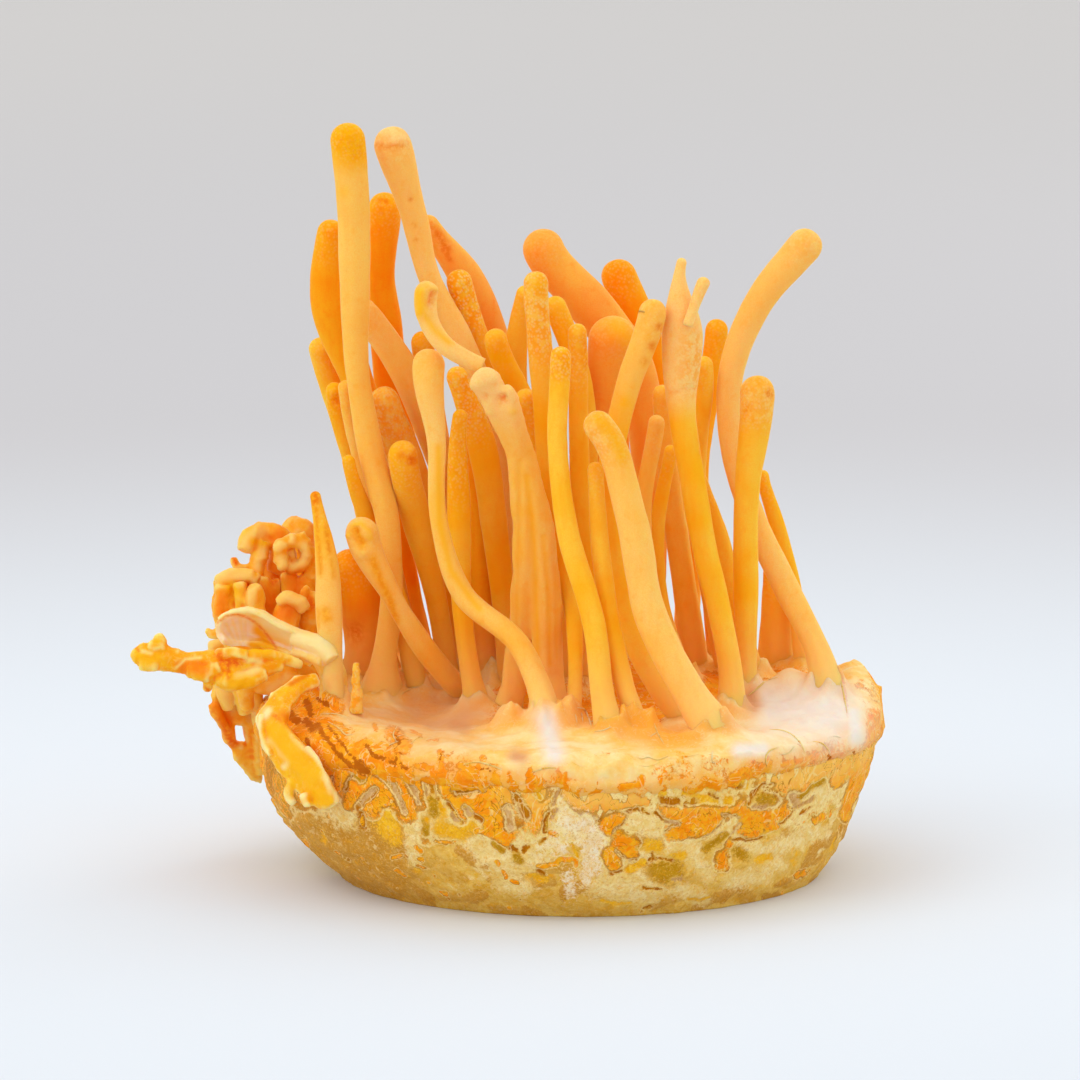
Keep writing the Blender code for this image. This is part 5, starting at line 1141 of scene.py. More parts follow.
def felt_top(tree, edge, heading, underside, seed):
    """Rows of points over the mat, and how far the felt climbs the feet at each."""
    share = np.sqrt(np.linspace(0.0, 1.0, FELT_ROWS + 1)[1:]) * 0.985
    flat = MIDDLE + heading[None] * (share[:, None] * edge[None, :])[..., None]
    height = np.empty(flat.shape[:-1])
    for row in range(FELT_ROWS):
        for side in range(FELT_SIDES):
            hit = tree.ray_cast(Vector((*flat[row, side], OVER_FELT)), DOWN)[0]
            height[row, side] = hit.z if hit else underside
    height = evened(height, 7)
    nearness = np.zeros(height.shape)
    for x, y, radius in feet():
        away = np.hypot(flat[..., 0] - x, flat[..., 1] - y)
        nearness += np.exp(-np.maximum(0.0, away - radius * 0.9) / 1.0)
    top = np.concatenate([flat, height[..., None]], axis=-1)
    climbs = CLIMB * np.minimum(nearness, 1.25) ** 0.75 * (1.0 + 0.45 * lumps(top, 1.3, seed + 50))
    top[..., 2] += climbs
    for rise, x, wide, y, deep in FELT_RISES:
        top[..., 2] += rise * np.exp(-((flat[..., 0] - x) / wide) ** 2 - ((flat[..., 1] - y) / deep) ** 2)
    uneven = 0.42 * rough(top, 4.2, seed, 3)
    folds = 1.0 - 2.0 * np.abs(lumps(top * np.array([1, 1, 0.5]), 2.7, seed + 9))
    rim_share = ease(share[:, None] * np.ones(FELT_SIDES), 0.86, 0.97)
    top[..., 2] += uneven + (0.3 * rim_share + 0.05) * folds
    return top, climbs


def felt_end(edge, heading, underside, seed):
    """Height at which the felt ends over the cake's side, uneven as torn cloth."""
    rim = np.concatenate([MIDDLE + heading * edge[:, None], np.zeros((FELT_SIDES, 1))], axis=-1)
    hanging = underside - 0.7 + 1.0 * lumps(rim, 6.0, seed + 4)
    end = hanging.copy()
    on_front = ease(-rim[:, 1], 2.0, 10.0)
    for _ in range(4):
        rim[:, 2] = end
        end = end - over_felt_end(on_sheet(rim)) / TILT_COS
    end = np.clip(end * on_front + hanging * (1.0 - on_front), underside - 6.0, underside + 0.2)
    return end + 0.45 * rough(rim, 1.7, seed + 5, 3)


def felt_skirt(last, edge, heading, underside, end):
    """Rows of points from the mat's last one, round its shoulder and down over the cake's side."""
    cake_tree = tree_of("rice_cake")[0]
    rows = []
    inner = np.hypot(last[:, 0] - MIDDLE[0], last[:, 1])
    skirt_top = underside + SKIRT_TOP
    drop = last[:, 2] - skirt_top
    for t in np.linspace(0.0, math.pi / 2, FELT_TURN_ROWS + 1)[1:]:
        reach = inner + (edge - inner) * math.sin(t)
        z = last[:, 2] - drop * (1.0 - math.cos(t))
        rows.append(np.concatenate([MIDDLE + heading * reach[:, None], z[:, None]], axis=-1)[None])
    for t in np.linspace(0.0, 1.0, FELT_SKIRT_ROWS + 1)[1:]:
        z = skirt_top * (1.0 - t) + (end - SKIRT_FADE) * t
        under = np.minimum(z, underside - 0.45)
        cake = np.array([reach_at(cake_tree, toward, at) for toward, at in zip(heading, under)])
        cake = evened(cake[None, :], 12)[0]
        thick = 0.42 + 0.7 * np.clip((z - end) / SKIRT_FADE, -1.3, 1.0)
        joined = ease(np.full(FELT_SIDES, t), 0.0, 0.45)
        reach = edge * (1.0 - joined) + (cake + thick) * joined
        rows.append(np.concatenate([MIDDLE + heading * reach[:, None], z[:, None]], axis=-1)[None])
    return np.concatenate(rows)


def felt_looks(points, edge, climbs, seed):
    """Traits and tints of the felt."""
    seen = on_sheet(points)
    x, y = points[..., 0], points[..., 1]
    reach = np.hypot(x - MIDDLE[0], y) / edge[None, :]
    mottled = rough(points, 2.6, seed + 30, 3)
    left = ease(-x, 16.0, 31.0)
    right = ease(x, 26.0, 35.0)
    front = ease(-y, 0.0, 8.0)
    rind_and_painted_shade = (0.12 + 0.34 * left + 0.3 * right) * ease(reach, 0.86, 1.0) + 0.3 * ease(mottled, 0.1, 0.7)
    rind_and_painted_shade = rind_and_painted_shade * ease(reach, 0.8, 0.97) + 0.35 * (1.0 - front) * ease(reach, 0.95, 1.0)
    marks = {"rind_and_painted_shade": rind_and_painted_shade, "wool": np.zeros(x.shape), "stain": np.zeros(x.shape), "painted_hollow_shade": np.zeros(x.shape)}
    above_end = over_felt_end(seen)
    flames = ease(torn(points) - (above_end / 2.6 - 0.02), -0.08, 0.2)
    marks["rind_and_painted_shade"] = np.maximum(marks["rind_and_painted_shade"], 0.8 * flames * ease(seen[..., 0], -38.0, -34.0) * front)
    wavering = seen + 0.16 * np.stack([rough(points, 0.8, seed + 33, 2), rough(points + 40.0, 0.8, seed + 34, 2)],
                                      axis=-1)
    for kind, half_width, *line in FELT_MARKS:
        cover = covered_by(wavering, half_width, line) * front
        if kind in ("wool", "painted_hollow_shade"):
            cover = 0.85 * np.exp(-(from_line(seen, line) / (1.3 * half_width)) ** 2) * front
            marks["rind_and_painted_shade"] = marks["rind_and_painted_shade"] * (1.0 - cover)
        marks[kind] = np.maximum(marks[kind], cover)
    climbing = np.zeros(x.shape)
    climbing[:FELT_ROWS] = ease(climbs, 0.3, 1.8)
    # Painted shade on the felt inside the ring of feet: orange from the middle rightwards, pinkish brown on the
    # left.
    shaded = ease(y, -22.0, -13.0) * ease(0.93 - reach, 0.0, 0.12)
    shaded = shaded * (1.0 - ease(x, 20.0, 25.0) * ease(-y, -6.0, 2.0)) * (1.0 - ease(-x, 21.5, 26.0))
    painted_shade_behind_feet = shaded * (1.0 - 0.75 * climbing)
    orange_shade_share = ease(x, -15.0, -9.0)
    marks["rind_and_painted_shade"] = np.maximum(marks["rind_and_painted_shade"] * (1.0 - shaded),
                               (0.3 + 0.55 * orange_shade_share) * painted_shade_behind_feet * (1.0 - marks["painted_hollow_shade"]))
    marks["painted_hollow_shade"] = np.maximum(marks["painted_hollow_shade"], 0.6 * painted_shade_behind_feet * (1.0 - orange_shade_share))
    marks["wool"] = marks["wool"] * (1.0 - shaded)
    traits = np.stack([marks[kind] for kind in ("rind_and_painted_shade", "wool", "stain", "painted_hollow_shade")], axis=-1)
    # Painted light: orange glow where the felt climbs the feet, between the middle feet and along its lower edge.
    foot_glow_strength = 0.55 + 0.35 * ease(x, -4.0, 2.0) * (1.0 - ease(x, 20.0, 24.0))
    between_feet = 0.9 * np.exp(-(from_line(seen, FEET_GLOW) / 1.9) ** 2) * front
    lower_edge_glow = 0.7 * (1.0 - ease(above_end / (2.4 + 3.4 * ease(-seen[..., 0], 16.0, 30.0)), 0.1, 1.0)) * front
    lower_edge_glow *= 1.0 - marks["wool"]
    glow = np.zeros(traits.shape)
    glow[..., 0] = np.maximum(climbing * foot_glow_strength * (1.0 - 0.6 * shaded), np.maximum(between_feet, lower_edge_glow))
    return traits, glow


def build_felt(seed):
    """The felt over the mat's top, its climb around every foot, and its torn skirt over the cake's side."""
    tree, solid = tree_of("mycelium_mat")
    underside = solid[:, 2].min()
    heading = directions(FELT_SIDES)[1]
    edge = np.array([reach_at(tree, toward, underside + 0.35) for toward in heading])
    edge = evened(edge[None, :], 60)[0]
    top, climbs = felt_top(tree, edge, heading, underside, seed)
    skirt = felt_skirt(top[-1], edge, heading, underside, felt_end(edge, heading, underside, seed))
    points = np.concatenate([top, skirt])
    push = (0.3 * rough(points, 2.8, seed + 20, 3) + 0.12 * rough(points, 0.9, seed + 22, 2))[FELT_ROWS:]
    points[FELT_ROWS:, :, :2] += heading[None] * push[..., None]
    traits, glow = felt_looks(points, edge, climbs, seed)
    faces = tube_faces(len(points), FELT_SIDES)
    faces.append(tuple(range(FELT_SIDES)))
    return new_piece("mycelium_mat_felt", points.reshape(-1, 3), faces, traits.reshape(-1, 4), FELT, "mycelium_mat",
                     tints=glow.reshape(-1, 4))


# Threads that lie loose on the felt: thickness, then the line on the sheet.
THREADS = (
    (0.26, (25.2, 18.3), (26.4, 18.3), (28.0, 17.8), (29.4, 16.5), (30.0, 15.3)),
    (0.2, (24.9, 13.3), (24.8, 14.8), (25.4, 15.6), (26.3, 15.9)),
    (0.18, (26.6, 15.0), (28.0, 15.3), (28.6, 16.2)),
    (0.22, (-0.4, 21.3), (0.6, 21.0), (1.1, 20.0), (1.6, 18.6)), (0.16, (0.2, 20.6), (0.4, 19.4)),
    (0.16, (-0.6, 20.4), (-0.4, 19.2)), (0.16, (1.3, 19.3), (2.0, 19.6)),
    (0.18, (1.9, 18.1), (3.0, 18.2), (4.2, 18.7)), (0.18, (9.9, 19.2), (10.3, 18.0), (11.2, 16.4)),
    (0.16, (10.3, 18.0), (9.4, 17.4)),
    (0.22, (7.4, 14.8), (8.2, 14.4), (9.0, 14.7), (10.2, 14.3), (11.8, 14.8)),
    (0.18, (17.7, 15.6), (17.7, 14.0), (18.2, 13.6)), (0.16, (-24.3, 18.9), (-24.9, 17.6), (-24.4, 16.6)),
    (0.14, (-24.4, 17.4), (-23.4, 17.6), (-22.6, 17.2)), (0.14, (-24.2, 16.8), (-25.4, 16.3)),
    (0.16, (-23.9, 22.9), (-22.6, 23.8), (-21.2, 24.1)),
    (0.2, (-33.6, 19.4), (-32.0, 18.4), (-31.2, 17.6), (-30.0, 17.8)),
    (0.22, (-34.6, 20.4), (-32.6, 20.4), (-30.6, 19.8)), (0.18, (-22.6, 16.4), (-21.6, 17.2), (-20.2, 17.0)),
    (0.2, (-6.4, 12.6), (-4.6, 13.2), (-3.2, 13.2)),
    (0.24, (-15.6, 13.6), (-14.0, 14.0), (-12.0, 13.6), (-10.4, 13.0)),
    (0.2, (34.6, 25.6), (35.1, 23.4), (35.6, 20.6)),
    (0.26, (22.4, 22.8), (23.6, 23.8), (24.8, 24.8), (26.4, 25.3)),
    (0.2, (31.0, 16.8), (32.4, 16.4), (33.4, 15.2)),
)


def tree_of_piece(piece):
    """A finished piece to cast rays at."""
    found = np.empty(len(piece.data.vertices) * 3)
    piece.data.vertices.foreach_get("co", found)
    faces = [tuple(face.vertices) for face in piece.data.polygons]
    return BVHTree.FromPolygons((found.reshape(-1, 3) / MM).tolist(), faces)


def seen_point(tree, across, up):
    """The point of a piece that is seen at (across, up), and the way of looking at it."""
    way = at_depth(across, up, 0.0) - EYE
    way /= np.linalg.norm(way)
    return tree.ray_cast(Vector(EYE), Vector(way))[0], way


def build_threads(felt):
    """Loose threads and torn skin lying on the felt, each a rope with thin ends, sunk a little into it."""
    tree = tree_of_piece(felt)
    points, faces = np.zeros((0, 3)), []
    for thickness, *line in THREADS:
        line = np.array(line)
        line = smooth_rows(np.column_stack([line, np.zeros(len(line)), np.zeros(len(line))]),
                           np.linspace(0.0, np.linalg.norm(np.diff(line, axis=0), axis=1).sum(), 4 * len(line)))
        rows = []
        for place, (across, up, *_) in enumerate(line):
            hit, way = seen_point(tree, across, up)
            if hit is not None:
                along = place / (len(line) - 1.0)
                radius = thickness * 0.5 * (1.05 - 0.7 * abs(2 * along - 1) ** 3)
                rows.append([*(np.array(hit) - 0.2 * thickness * way), radius])
        if len(rows) < 4:
            continue
        rows = np.array(rows)
        rows[1:-1, :3] = 0.25 * rows[:-2, :3] + 0.5 * rows[1:-1, :3] + 0.25 * rows[2:, :3]
        points, faces = joined_to(points, faces, *rope_of(rows, THREAD_SIDES))
    traits = np.zeros((len(points), 4))
    traits[:, 0] = 0.2 + 0.3 * rough(points, 1.4, 91, 2)
    return new_piece("felt_threads", points, faces, traits, FELT)


# A granular spine too small to be a finger, at the tallest finger's foot: across, up and radius.
SPINE = ((-29.8, 20.6, 1.0), (-29.8, 22.2, 0.85), (-29.8, 23.8, 0.64), (-29.85, 25.4, 0.52), (-29.85, 26.7, 0.46),
         (-29.85, 27.2, 0.26))


def build_small_spine(felt, seed):
    """The spine, from inside the felt upward at one depth."""
    hit = seen_point(tree_of_piece(felt), *SPINE[0][:2])[0]
    rows = np.array([[*at_depth(across, up, hit[1]), radius] for across, up, radius in SPINE])
    points, faces = rope_of(rows, SPINE_SIDES)
    outward = (points - rows[:, :3].mean(axis=0)) * (1.0, 1.0, 0.0)
    outward /= np.maximum(np.linalg.norm(outward, axis=1), 0.1)[:, None]
    points = points + outward * (0.16 * lumps(points, 0.5, seed))[:, None]
    traits = np.zeros((len(points), 4))
    traits[:, 0] = np.clip((points[:, 2] - points[:, 2].min()) / 9.0, 0.0, 1.0)
    traits[:, 1] = 1.0
    traits[:, 3] = 0.3
    return new_piece("small_spine_flesh", points, faces, traits, PALE_FLESH)


# ---------------------------------------------------------------- cake

CAKE_SIDES = 1000
CAKE_ROWS = 82
CAKE_TOP_ROWS = 4
GRAIN_LENGTH, GRAIN_WIDTH = 5.4, 1.9
GRAIN_SPACING = 2.5
MOST_GRAINS = 900
SLIT_LENGTH, SLIT_WIDTH = 4.6, 0.9
SLIT_SPACING = 3.1
MOST_SLITS = 150
GIRTH_RADIUS = 38.0                 # the cake's side is laid flat at this radius for its grains
KINDS = ("orange", "brown", "core", "cream", "yellow", "white", "olive", "khaki")

# What the cake's front shows, each mark laid over those before it: kind, half width, line on the sheet.
CAKE_MARKS = (
    # broad fields
    ("cream", 1.6, (-33.0, 8.6), (-31.0, 6.8)), ("cream", 0.8, (-27.4, 8.0), (-26.8, 6.6)),
    ("yellow", 1.1, (-26.2, 5.6), (-24.6, 4.0)), ("cream", 2.2, (-20.0, 6.6), (-15.4, 5.4)),
    ("cream", 1.5, (-14.6, 4.2), (-12.6, 2.4)), ("cream", 1.6, (-12.0, 2.0), (-8.8, 0.4)),
    ("cream", 0.9, (-22.6, 5.6), (-22.0, 1.0)), ("cream", 1.4, (-8.0, 3.4), (-6.0, 1.2)),
    ("cream", 1.2, (-10.6, -1.8), (-7.6, -2.6)), ("cream", 2.4, (2.4, -1.6), (8.6, -3.0)),
    ("cream", 1.6, (6.8, 0.0), (10.6, 3.2)), ("cream", 1.1, (12.4, 2.9), (15.0, 2.6)),
    ("cream", 1.0, (15.4, 0.8), (17.0, -1.2)), ("cream", 1.0, (12.6, -2.8), (16.4, -4.3)),
    ("cream", 0.9, (21.6, 3.0), (25.4, 2.0)), ("cream", 0.8, (25.4, 1.0), (26.8, 0.2)),
    ("cream", 0.9, (29.8, 5.0), (32.2, 4.6)), ("cream", 1.2, (26.0, 2.6), (29.6, 4.0)),
    ("cream", 1.1, (20.0, -2.0), (24.6, -1.0)), ("cream", 1.0, (31.4, 8.4), (33.0, 11.6)),
    ("cream", 0.9, (34.2, 9.6), (35.2, 10.6)), ("cream", 0.8, (28.0, 6.0), (29.6, 7.6)),
    ("cream", 1.0, (33.6, 13.0), (34.0, 16.4)), ("orange", 1.5, (-33.4, 13.6), (-31.6, 11.4)),
    ("orange", 1.4, (-29.4, 11.0), (-27.4, 11.4), (-26.0, 9.6)), ("orange", 0.8, (-30.0, 9.2), (-30.4, 8.4)),
    ("orange", 1.0, (-27.8, 8.2), (-27.4, 7.6)), ("orange", 1.2, (-24.2, 11.2), (-22.9, 7.2)),
    ("orange", 0.9, (-21.6, 10.6), (-20.9, 8.8)), ("orange", 1.3, (-18.0, 10.8), (-12.0, 11.0), (-9.8, 9.4)),
    ("orange", 1.5, (-17.4, 9.0), (-11.0, 8.6)), ("orange", 1.0, (-16.6, 8.0), (-15.9, 6.6)),
    ("orange", 1.2, (-12.6, 6.8), (-10.6, 5.2), (-9.8, 4.4)),
    ("orange", 1.4, (-8.8, 10.0), (-6.0, 9.6), (-5.4, 6.6)), ("orange", 1.7, (-1.0, 10.0), (1.0, 8.6)),
    ("orange", 1.2, (2.4, 9.0), (9.6, 9.0)), ("orange", 1.2, (11.2, 7.0), (20.0, 6.8)),
    ("orange", 1.1, (13.4, 5.2), (17.0, 5.2)), ("orange", 1.5, (21.6, 6.6), (23.0, 5.2)),
    ("orange", 1.3, (25.0, 6.8), (27.2, 7.8)), ("orange", 1.4, (24.0, 9.8), (30.0, 12.8)),
    ("orange", 1.3, (30.0, 11.8), (33.4, 14.4)), ("orange", 0.8, (34.0, 11.4), (35.4, 13.4)),
    ("orange", 0.7, (38.6, 19.0), (37.4, 13.4), (35.6, 8.6), (35.2, 6.8)),
    # yellow
    ("yellow", 1.0, (-25.6, 6.8), (-25.2, 5.8)), ("yellow", 0.9, (-18.6, 5.2), (-15.6, 4.6)),
    ("yellow", 0.7, (-14.4, 5.6), (-13.8, 5.0)), ("yellow", 1.2, (-19.6, 9.2), (-18.6, 7.8)),
    ("yellow", 1.0, (8.8, 3.2), (10.2, 2.8)), ("yellow", 0.9, (15.8, 9.1), (20.0, 8.9)),
    ("yellow", 0.6, (12.4, 1.2), (13.6, 1.6)), ("yellow", 0.9, (16.6, 11.2), (18.4, 10.6)),
    ("yellow", 0.9, (20.2, 11.4), (22.0, 10.8)), ("yellow", 1.0, (22.4, 12.4), (23.6, 12.6)),
    ("yellow", 0.5, (23.6, 1.0), (25.2, 1.4)), ("yellow", 0.6, (-5.8, 10.6), (-5.4, 9.2)),
    ("yellow", 0.7, (10.0, 9.5), (15.0, 9.8)), ("yellow", 0.5, (6.6, -0.2), (8.4, 0.6)),
    # the white drip
    ("white", 1.9, (-2.4, 5.6), (0.6, 5.4)), ("white", 1.5, (0.6, 6.0), (2.6, 4.0)),
    ("white", 0.9, (-2.6, 8.8), (-1.4, 6.8)), ("white", 1.4, (-4.6, 3.2), (-2.6, 2.6)),
    ("white", 1.0, (0.9, 3.0), (0.8, -2.0)), ("white", 0.9, (-1.6, -1.0), (-1.2, -3.6)),
    ("white", 0.8, (2.2, 3.0), (2.0, -0.4)), ("yellow", 0.22, (-1.0, 3.0), (-0.2, 1.2)),
    # slits and grains, left to right
    ("brown", 0.5, (-35.0, 18.4), (-33.6, 16.4), (-32.0, 14.6), (-30.6, 13.4)),
    ("brown", 0.3, (-33.6, 18.6), (-31.8, 16.4), (-30.0, 14.4)), ("core", 0.2, (-31.2, 13.6), (-30.5, 12.9)),
    ("brown", 0.9, (-29.3, 14.0), (-29.2, 12.4)), ("olive", 0.6, (-29.8, 12.0), (-29.0, 11.6)),
    ("brown", 0.22, (-30.6, 12.0), (-31.4, 10.2)), ("core", 0.3, (-33.0, 11.8), (-33.0, 10.8)),
    ("brown", 0.45, (-29.6, 7.9), (-28.4, 9.2), (-27.1, 10.3)),
    ("core", 0.26, (-29.4, 8.4), (-28.2, 9.7), (-27.2, 10.5)), ("brown", 0.45, (-29.2, 6.9), (-28.9, 5.4)),
    ("orange", 0.22, (-29.1, 6.6), (-28.9, 5.6)),
    ("brown", 0.42, (-27.0, 12.4), (-25.6, 11.6), (-24.4, 10.2)),
    ("core", 0.22, (-26.2, 11.7), (-25.2, 10.9), (-24.3, 9.9)),
    ("brown", 0.42, (-25.4, 11.9), (-24.3, 10.0), (-23.5, 7.4)),
    ("core", 0.3, (-25.1, 11.2), (-24.2, 9.4), (-23.4, 7.2)),
    ("brown", 0.4, (-23.2, 12.0), (-22.5, 10.8), (-21.9, 9.6)),
    ("core", 0.26, (-22.9, 11.4), (-22.0, 9.8), (-21.4, 8.4)),
    ("brown", 0.75, (-20.6, 12.4), (-19.9, 11.2), (-19.6, 9.4)), ("olive", 0.6, (-19.6, 9.0), (-19.4, 7.2)),
    ("core", 0.13, (-19.4, 11.0), (-19.2, 9.6)), ("core", 0.13, (-20.5, 11.0), (-20.3, 9.6)),
    ("brown", 0.5, (-18.0, 11.6), (-16.2, 12.2)), ("brown", 0.5, (-16.6, 10.0), (-14.6, 10.3), (-12.7, 10.6)),
    ("brown", 0.3, (-17.6, 8.4), (-16.6, 7.0), (-15.8, 6.0)), ("core", 0.26, (-17.1, 7.0), (-16.4, 6.2)),
    ("brown", 0.36, (-15.4, 8.0), (-14.0, 6.8), (-13.0, 6.2)), ("core", 0.4, (-15.1, 7.6), (-14.7, 7.0)),
    ("olive", 0.42, (-20.5, 6.4), (-20.5, 4.4)), ("yellow", 0.3, (-20.4, 6.6), (-20.4, 6.0)),
    ("orange", 0.3, (-13.6, 4.7), (-11.2, 4.5), (-9.8, 3.4), (-9.0, 2.6)),
    ("olive", 0.4, (-11.4, 3.2), (-10.3, 2.3)), ("brown", 0.2, (-10.4, 11.5), (-9.2, 10.4), (-8.5, 9.2)),
    ("brown", 0.6, (-8.3, 9.0), (-7.5, 7.4), (-7.1, 6.8)), ("core", 0.6, (-9.8, 7.8), (-9.3, 5.2)),
    ("brown", 0.3, (-9.0, 2.8), (-8.6, 2.2)), ("olive", 0.6, (-8.5, 1.5), (-8.1, 1.0)),
    ("brown", 0.2, (-2.5, 10.9), (-3.2, 9.5), (-3.9, 8.3)), ("core", 0.26, (-2.7, 10.4), (-3.6, 8.4)),
    ("olive", 0.4, (-4.4, 7.2), (-4.6, 5.0)),
    ("brown", 0.14, (-4.1, 7.4), (-4.9, 6.0), (-4.8, 4.6), (-4.2, 4.6)),
    ("brown", 0.14, (-4.7, 3.8), (-5.3, 3.2)), ("orange", 0.35, (-3.9, 4.4), (-3.2, 4.3)),
    ("orange", 0.3, (-5.6, 0.2), (-3.6, 0.4), (-2.6, 1.0), (-0.7, 0.9), (-0.5, 0.3)),
    ("brown", 0.3, (-6.9, 2.6), (-7.4, 2.2)), ("brown", 0.26, (-5.6, -0.4), (-4.8, -0.8)),
    ("cream", 1.7, (6.2, 5.9), (9.8, 5.6)), ("brown", 0.2, (2.2, 6.3), (3.4, 6.7), (3.9, 7.4), (6.4, 7.3)),
    ("core", 0.2, (3.6, 6.9), (5.0, 7.0)), ("brown", 0.3, (6.4, 7.4), (7.8, 7.8), (9.0, 7.4), (10.2, 7.3)),
    ("brown", 0.16, (10.2, 7.2), (11.4, 6.1)), ("orange", 1.0, (3.6, 5.8), (5.2, 6.2)),
    ("orange", 0.5, (4.0, 4.9), (5.2, 4.4)), ("brown", 0.16, (6.0, 6.3), (5.6, 5.5), (4.8, 5.2), (4.5, 4.6)),
    ("brown", 1.25, (5.8, 3.2), (6.8, 3.2)), ("orange", 1.1, (5.6, 3.2), (6.6, 3.2)),
    ("orange", 0.8, (6.4, 2.0), (7.0, 1.6)), ("brown", 0.14, (7.6, 1.0), (6.6, 1.0)),
    ("orange", 0.9, (3.9, 1.6), (4.6, 0.2)), ("brown", 0.18, (4.0, -0.9), (5.6, -0.4)),
    ("brown", 0.14, (4.9, 2.0), (5.9, 1.2)), ("olive", 1.6, (10.8, -0.4), (12.2, -0.8)),
    ("brown", 0.16, (9.3, 1.0), (10.6, 1.2), (12.2, 0.9)), ("core", 0.3, (12.4, -1.6), (13.4, -1.6)),
    ("brown", 0.16, (9.6, 2.0), (9.9, 1.2)), ("orange", 0.9, (12.2, 4.6), (13.2, 4.6)),
    ("brown", 0.14, (11.4, 4.8), (12.0, 5.4), (13.2, 5.7)), ("core", 0.3, (11.6, 6.0), (13.0, 5.9)),
    ("brown", 0.6, (11.0, 8.7), (15.1, 8.7)), ("cream", 0.55, (20.4, 6.2), (19.2, 5.2), (17.8, 3.6)),
    ("brown", 0.16, (19.0, 7.0), (20.6, 6.9), (21.3, 6.6)),
    ("olive", 0.5, (19.4, 4.4), (18.0, 3.4), (16.7, 2.3)),
    ("brown", 0.12, (19.2, 6.4), (17.6, 4.6), (16.4, 4.0)),
    ("core", 0.16, (21.3, 5.7), (20.2, 4.4), (18.7, 2.4), (17.7, 0.8)),
    ("orange", 0.5, (20.0, 3.4), (19.4, 2.2)), ("brown", 1.05, (19.0, 1.2), (18.9, 0.5)),
    ("orange", 0.9, (19.0, 1.3), (18.9, 0.5)), ("brown", 0.2, (20.4, 3.6), (22.4, 3.7), (24.4, 3.9)),
    ("olive", 0.7, (21.2, 2.0), (21.7, 1.6)), ("brown", 1.2, (24.0, 9.4), (25.6, 9.0)),
    ("olive", 0.9, (24.0, 9.0), (25.4, 9.0)),
    ("brown", 0.2, (22.6, 8.4), (23.2, 10.0), (24.4, 11.0), (25.8, 11.1)),
    ("core", 0.3, (23.2, 8.0), (24.8, 8.0)), ("core", 0.7, (28.4, 9.4), (28.8, 8.6)),
    ("brown", 0.2, (27.8, 8.2), (28.0, 7.6)), ("core", 0.22, (28.4, 7.7), (31.2, 9.2)),
    ("olive", 0.4, (29.5, 9.4), (31.0, 10.6), (32.4, 11.7)),
    ("brown", 0.16, (28.6, 7.3), (27.0, 5.9), (25.8, 5.2)), ("brown", 0.4, (20.7, 10.8), (21.4, 10.6)),
    ("core", 0.3, (17.8, 9.6), (18.3, 9.4)), ("brown", 0.16, (17.2, 9.8), (18.6, 9.0)),
    ("brown", 0.14, (29.4, 7.0), (30.6, 8.0)), ("orange", 0.35, (31.2, 6.0), (32.2, 6.8)),
    ("orange", 0.4, (28.9, -1.1), (29.8, -0.8)), ("orange", 0.25, (-36.7, 3.6), (-36.2, 2.8)),
    ("orange", 0.22, (-24.8, 1.2), (-24.0, 1.5)), ("orange", 0.25, (-24.2, -0.4), (-23.4, -1.1)),
    ("orange", 0.28, (-21.8, 2.8), (-21.2, 2.3)), ("orange", 0.22, (-21.4, 1.2), (-20.9, 1.0)),
    ("orange", 0.3, (-11.1, 0.8), (-10.8, 0.4)), ("orange", 0.3, (-8.9, -1.8), (-8.3, -1.9)),
    ("orange", 0.22, (-10.2, -0.6), (-9.8, -1.4)), ("orange", 0.2, (-18.4, -3.3), (-17.6, -3.6)),
    ("orange", 0.14, (-19.2, 3.4), (-17.8, 3.2), (-16.6, 3.5)),
    ("yellow", 0.16, (2.8, -4.4), (4.6, -4.9), (6.8, -4.7)), ("brown", 0.2, (8.6, -5.5), (9.4, -5.2)),
    ("brown", 0.14, (8.2, -2.8), (10.8, -3.0)), ("cream", 0.2, (-17.5, -2.4), (-16.2, -3.0)),
    ("yellow", 0.14, (14.4, -4.2), (16.0, -4.4), (17.2, -4.0)), ("orange", 0.3, (24.8, 5.0), (26.2, 5.4)),
)


def scattered_grains(around, low, high, spacing, length, width, lean, seed, most):
    """Grains laid on the cake's side without crowding: place, heading, length, width, tone."""
    draw = np.random.default_rng(seed)
    grains = np.zeros((0, 6))
    for _ in range(most * 9):
        u, v = draw.uniform(0.0, around), draw.uniform(low, high)
        du = np.abs(u - grains[:, 0])
        if len(grains) and np.hypot(np.minimum(du, around - du) * 0.7, v - grains[:, 1]).min() < spacing:
            continue
        grains = np.concatenate([grains, [(u, v, draw.normal(0.0, lean), length * draw.uniform(0.75, 1.15),
                                           width * draw.uniform(0.8, 1.2), draw.uniform(0.0, 1.0))]])
        if len(grains) > most:
            break
    return grains


def grain_field(u, v, around, grains):
    """Distance to the nearest grain in half widths from its middle line, and that grain's tone."""
    nearest = np.full(u.shape, 9.0)
    tone = np.zeros(u.shape)
    for gu, gv, turn, length, width, shade in grains:
        rows = np.flatnonzero((v[:, 0] > gv - 4.0) & (v[:, 0] < gv + 4.0))
        sides = np.flatnonzero(np.abs((u[0] - gu + around / 2) % around - around / 2) < 4.5)
        if not len(rows) or not len(sides):
            continue
        part = np.ix_(rows, sides)
        du = (u[part] - gu + around / 2) % around - around / 2
        dv = v[part] - gv
        along = du * math.cos(turn) + dv * math.sin(turn)
        side = -du * math.sin(turn) + dv * math.cos(turn)
        d = np.hypot(np.maximum(np.abs(along) - (length - width) / 2, 0.0), side) / (width / 2)
        tone[part] = np.where(d < nearest[part], shade, tone[part])
        nearest[part] = np.minimum(nearest[part], d)
    return nearest, tone


